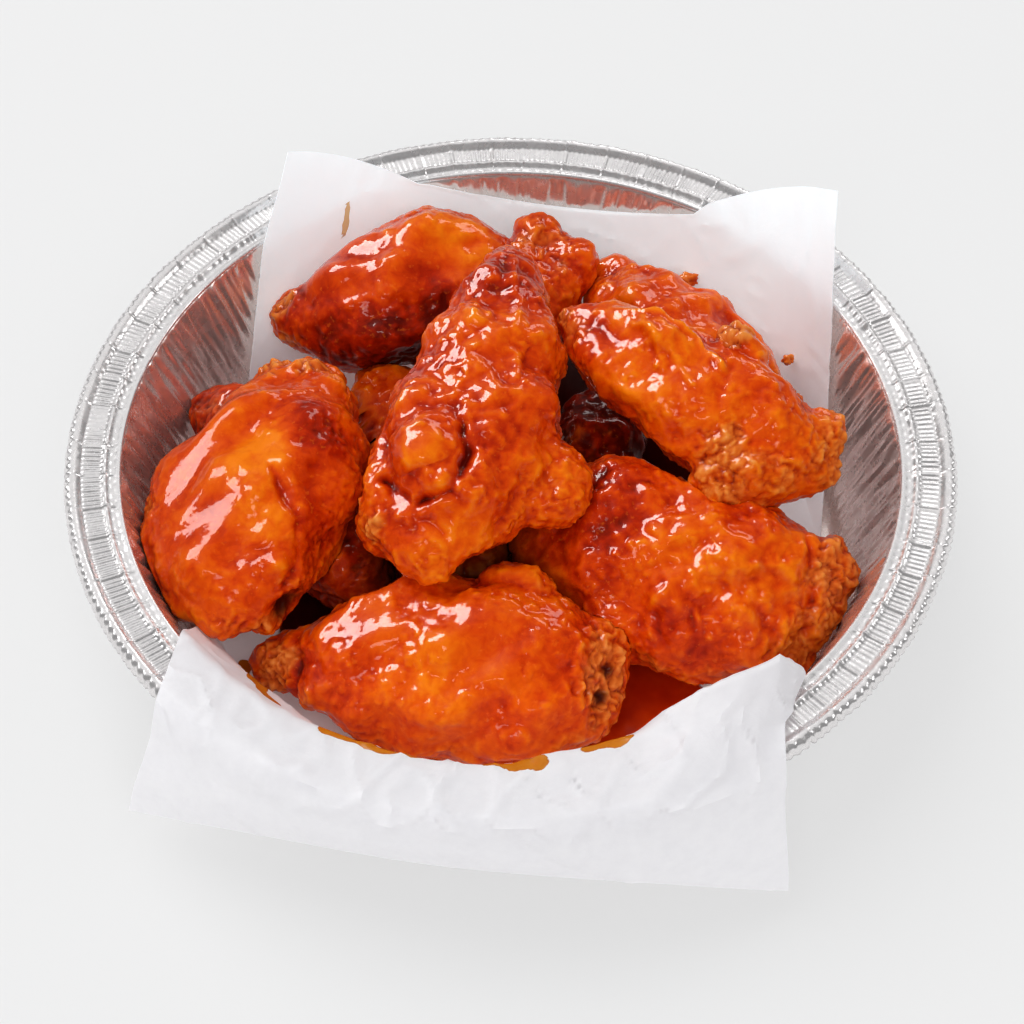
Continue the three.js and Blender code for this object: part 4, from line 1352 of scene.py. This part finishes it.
def glazed_crust():
    """Orange sauce over fried skin: red where the sauce is deep, amber where it is thin, brown crust; darker
    in crevices and paler on proud tops, partly as painted shade and light, and painted shade near black low
    in the heap.
    """
    f = Finish("glazed_crust")
    crust, crag, proud, raised = (f.attribute(key) for key in ("crust", "crag", "proud", "raised"))
    # By how proud the skin stands: redder and darker where sunk, more amber and paler on proud tops, for
    # sauce and crust alike; partly deeper sauce and the crust's own tone, partly painted shade and painted
    # light.
    thin = f.plus(
        f.times(f.noise(13, 3, 0.55), 0.65),
        f.times(f.noise(3.6, 3, 0.6, distortion=0.6), 0.45),
        -0.05,
        f.times(f.attribute("amber"), 0.28),
        f.times(f.centred(raised), 0.30),
        f.times(f.centred(proud), 0.50),
    )
    flecks = f.ranged(f.noise(1.6, 2, 0.6), 0.60, 0.72)
    sauce = f.mixed(f.times(flecks, 0.25), f.ramp(thin, SAUCE_TONES), FLECK)
    tone = f.plus(f.times(proud, 0.75), f.times(f.noise(3.0, 3, 0.6), 0.45))
    browned = f.ranged(f.plus(f.noise(6, 3, 0.6), f.times(f.centred(crag), 0.35)), 0.44, 0.62)
    fried = f.mixed(browned, f.ramp(tone, ORANGE_CRUST), f.ramp(tone, BROWN_CRUST))
    share = f.ranged(f.plus(crust, f.times(f.centred(f.noise(5, 3, 0.6)), 0.6)), 0.2, 0.8)
    colour = f.mixed(f.times(share, 0.85), sauce, fried)
    # Painted shade: "deep" darkens the colour to near black low in the heap and in the hollows.
    f.set(Base_Color=f.mixed(f.attribute("deep"), colour, PAINTED_SHADE))
    f.set(Roughness=f.ranged(share, 0, 1, 0.42, 0.6))
    f.set(Specular_IOR_Level=0.05, Coat_Roughness=0.065, Coat_IOR=1.32)
    f.set(Coat_Weight=f.ranged(share, 0, 1, 1.0, 0.7))
    f.set(Normal=f.bump(f.noise(0.9, 3, 0.6), 0.5, 0.12))
    f.set(Coat_Normal=f.bump(f.noise(0.8, 2, 0.5), 0.2, 0.08, f.bump(f.noise(2.2, 2, 0.5), 0.4, 0.22)))
    return f.material


def sauce_finish():
    """Glossy orange sauce, mottled by noise."""
    f = Finish("pooled_sauce")
    f.set(Base_Color=f.ramp(f.noise(7, 2, 0.5), POOL_TONES))
    f.set(Roughness=0.2, Coat_Weight=1.0, Coat_Roughness=0.05, Specular_IOR_Level=0.5)
    f.set(Normal=f.bump(f.noise(3, 2, 0.5), 0.2, 0.2))
    return f.material


def foil_finish():
    """Bright rolled aluminium with fine scratches and slight dents; a painted reflection of the wings warms
    the wall's inner face.
    """
    f = Finish("foil")
    grain = f.noise(1.1, 3, 0.6)
    f.set(Base_Color=f.mixed(f.attribute("inside"), f.ramp(grain, FOIL_TONES), FOIL_PAINTED_REFLECTION))
    f.set(Metallic=0.72)
    f.set(Roughness=f.ranged(f.noise(4, 2, 0.6), 0.3, 0.7, 0.19, 0.34))
    dents = f.bump(f.noise(2.6, 3, 0.6), 0.5, 0.25)
    f.set(Normal=f.bump(grain, 0.25, 0.06, dents))
    return f.material


def paper_finish():
    """Thin bleached paper, with a faint mottle of its fibres, its stains, and a painted glow: emission,
    stronger towards the back, that stands in for light coming through the paper."""
    f = Finish("deli_paper")
    white = f.ramp(f.noise(5, 4, 0.65), PAPER_TONES)
    stain = f.attribute("stain")
    wavy = f.times(f.centred(f.noise(2.5, 3, 0.6)), 0.2)
    # Soaked sauce, and at its darkest end painted shade under the heap.
    amber = f.ramp(f.plus(f.attribute("soak_and_shade"), wavy), SOAK_AND_SHADE_TONES)
    amber = f.mixed(f.ranged(stain, 0.50, 0.60, 0.45, 0.0), amber, STAIN_EDGE)
    stain = f.plus(stain, f.times(wavy, 0.5))
    f.set(Base_Color=f.mixed(f.ranged(stain, 0.47, 0.53), white, amber))
    f.set(Roughness=f.ranged(stain, 0.47, 0.53, 0.62, 0.2), Specular_IOR_Level=0.3)
    f.set(Subsurface_Weight=0.5, Subsurface_Scale=0.002, Subsurface_Radius=(1, 1, 1))
    # Painted light: the paper glows a little everywhere outside the stains, and more towards the back.
    glow = f.plus(f.times(f.attribute("painted_glow"), 0.16), 0.075)
    f.set(Emission_Color=f.ramp(f.attribute("painted_glow"), PAPER_PAINTED_GLOW))
    f.set(Emission_Strength=f.ranged(stain, 0.47, 0.53, glow, 0.0))
    crinkle = f.bump(f.noise(9, 4, 0.6, distortion=0.8), 0.25, 0.5)
    f.set(Normal=f.bump(f.noise(1.2, 3, 0.6), 0.2, 0.05, crinkle))
    return f.material


def floor_finish():
    """A plain pale table."""
    f = Finish("pale_floor")
    f.set(Base_Color=(0.34, 0.34, 0.34, 1), Roughness=0.8, Specular_IOR_Level=0.05)
    f.set(Emission_Color=(1, 1, 1, 1), Emission_Strength=0.44)
    return f.material


# The stage, in metres

LENS, SENSOR, NEAREST = 74.86, 36, 0.01
EYE = (0.000302, -0.331845, 0.440261)
LOOKS_DOWN = 52.179
FLOOR_HALF = 12.0
ROOM_COLOUR = (0.985, 0.99, 1.0, 1)
ROOM_LEVEL, MIRRORED_LEVEL = 0.45, 0.13

# Each box of light: place, what it is aimed at, width, height, watts, and what it reaches: it is mirrored in
# glossy surfaces, or it lights matt ones.
LIGHTS = {
    "back_window": ((-1.35, 1.15, 1.80), (0, 0, 0.04), 1.8, 1.1, 118, "gloss"),
    "front_window": ((-0.35, -1.25, 1.6), (0, 0, 0.03), 0.7, 0.3, 4, "gloss"),
    "right_window": ((1.1, 2.6, 1.9), (0, 0, 0.03), 1.6, 0.8, 20, "gloss"),
    "left_window": ((-1.475, 0.451, 1.838), (-0.062, -0.012, 0.05), 0.95, 1.45, 56, "gloss"),
    "foil_sky": ((0, 1.5, 2.0), (0, 0, 0.04), 4.0, 3.0, 20, "gloss"),
    "foil_left": ((-2.0, 0.9, 1.5), (0, 0, 0.04), 0.7, 1.1, 7, "gloss"),
    "foil_right": ((2.2, 0.5, 1.3), (0, 0, 0.04), 0.7, 1.0, 6, "gloss"),
    "foil_back": ((0.5, 2.6, 1.5), (0, 0, 0.04), 0.9, 0.6, 5, "gloss"),
    "overhead_box": ((-1.1, 1.0, 2.5), (0, 0, 0.03), 2.6, 2.6, 30, "matt"),
    "front_box": ((0.2, -2.3, 2.5), (0, 0, 0.03), 2.8, 1.8, 26, "matt"),
}


def add_light(name, place, aim, width, height, watts, reaches):
    """A soft box of light, turned towards its aim."""
    lamp = bpy.data.lights.new(name, "AREA")
    lamp.shape = "RECTANGLE"
    lamp.size, lamp.size_y = width, height
    lamp.energy = watts
    box = placed(name, lamp)
    way = np.array(aim, float) - np.array(place, float)
    flat = math.hypot(way[0], way[1])
    box.visible_diffuse = reaches == "matt"
    box.visible_glossy = reaches == "gloss"
    box.location = place
    box.rotation_euler = (math.atan2(flat, -way[2]), 0, math.atan2(way[1], way[0]) - math.pi / 2)
    return box


def keep_to(box, pieces, state):
    """Lets a light reach only some pieces ("INCLUDE"), or all but them ("EXCLUDE")."""
    reached = bpy.data.collections.new(box.name + "_reach")
    for piece in pieces:
        reached.objects.link(piece)
    for row in reached.collection_objects:
        row.light_linking.link_state = state
    box.light_linking.receiver_collection = reached


def make_room():
    """The world: an even light, dimmer where it is mirrored."""
    world = bpy.data.worlds.new("room")
    world.use_nodes = True
    nodes, links = world.node_tree.nodes, world.node_tree.links
    background = nodes["Background"]
    background.inputs["Color"].default_value = ROOM_COLOUR
    path = nodes.new("ShaderNodeLightPath")
    level = nodes.new("ShaderNodeMapRange")
    level.inputs["To Min"].default_value = ROOM_LEVEL
    level.inputs["To Max"].default_value = MIRRORED_LEVEL
    links.new(path.outputs["Is Glossy Ray"], level.inputs["Value"])
    links.new(level.outputs[0], background.inputs["Strength"])
    bpy.context.scene.world = world


def make_stage():
    """The camera, the floor, the boxes of light and the room; gives back the boxes by name."""
    camera = bpy.data.cameras.new("camera")
    camera.lens = LENS
    camera.sensor_width = SENSOR
    camera.clip_start = NEAREST
    eye = placed("camera", camera)
    eye.location = EYE
    eye.rotation_euler = (math.radians(90 - LOOKS_DOWN), 0, 0)
    bpy.context.scene.camera = eye
    corners = np.array([(-1, -1, 0), (1, -1, 0), (1, 1, 0), (-1, 1, 0)]) * FLOOR_HALF / MM
    floor = mesh_of("floor", corners, [np.arange(4)])
    floor.data.materials.append(floor_finish())
    boxes = {name: add_light(name, *light) for name, light in LIGHTS.items()}
    make_room()
    bpy.context.scene.view_settings.view_transform = "Standard"
    bpy.context.scene.view_settings.look = "Medium High Contrast"
    return boxes


# The object

boxes = make_stage()

foil = foil_finish()
pan = [make_rim(), make_wall()]
for piece in pan:
    piece.data.materials.append(foil)
    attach(piece, "root")
    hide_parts("foil_pan")

strip = paper_grid()
paper = make_paper(strip)
paper.data.materials.append(paper_finish())
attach(paper, "root")
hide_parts("deli_paper")

# What the wings keep clear of, in millimetres: each wing before them, the wall's inner face, and the paper's
# upper face.
upper_face = strip + grid_normals(strip) * (SHEET / 2 + 0.1)
sheet_guide = mesh_of("sheet_guide", upper_face.reshape(-1, 3), grid_faces(*strip.shape[:2]), metres=False)
guide_rings = turned(WALL_GUIDE, TURN * np.arange(GUIDE_SIDES) / GUIDE_SIDES)
guide_faces = grid_faces(*guide_rings.shape[:2], closed=True)
wall_guide = mesh_of("wall_guide", guide_rings.reshape(-1, 3), guide_faces, metres=False)
guides = [
    (wall_guide, guide_rings.reshape(-1, 3), WALL_FARTHEST),
    (sheet_guide, upper_face.reshape(-1, 3), SHEET_FARTHEST),
]
wings = {}
earlier = []
for name, wing in WINGS.items():
    wings[name], points = make_wing(name + "_glazed", wing, SKIN[name], earlier + guides)
    earlier.append((wings[name], points, WING_FARTHEST))

sauce = sauce_finish()
for name, numbers in POOLS.items():
    pool = make_pool(name, sheet_guide, *numbers)
    pool.data.materials.append(sauce)
    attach(pool, "root")

low_wings = [wings["wing_low_middle"], wings["wing_low_right"]]
for name in ("foil_sky", "foil_left", "foil_right", "foil_back"):
    keep_to(boxes[name], pan, "INCLUDE")
for name in ("front_window", "right_window"):
    keep_to(boxes[name], pan, "EXCLUDE")
keep_to(boxes["back_window"], [*pan, wings["wing_left"], *low_wings], "EXCLUDE")
keep_to(boxes["left_window"], [wings["wing_left"]], "INCLUDE")

crusted = glazed_crust()
for name, piece in wings.items():
    piece.data.materials.clear()
    piece.data.materials.append(crusted)
    to_metres(piece)
    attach(piece, "root")
    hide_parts(name)
for guide in (sheet_guide, wall_guide):
    bpy.data.objects.remove(guide)

for name, numbers in CRUMBS.items():
    crumb = make_crumb(name, *numbers)
    crumb.data.materials.append(crusted)
    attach(crumb, "root")
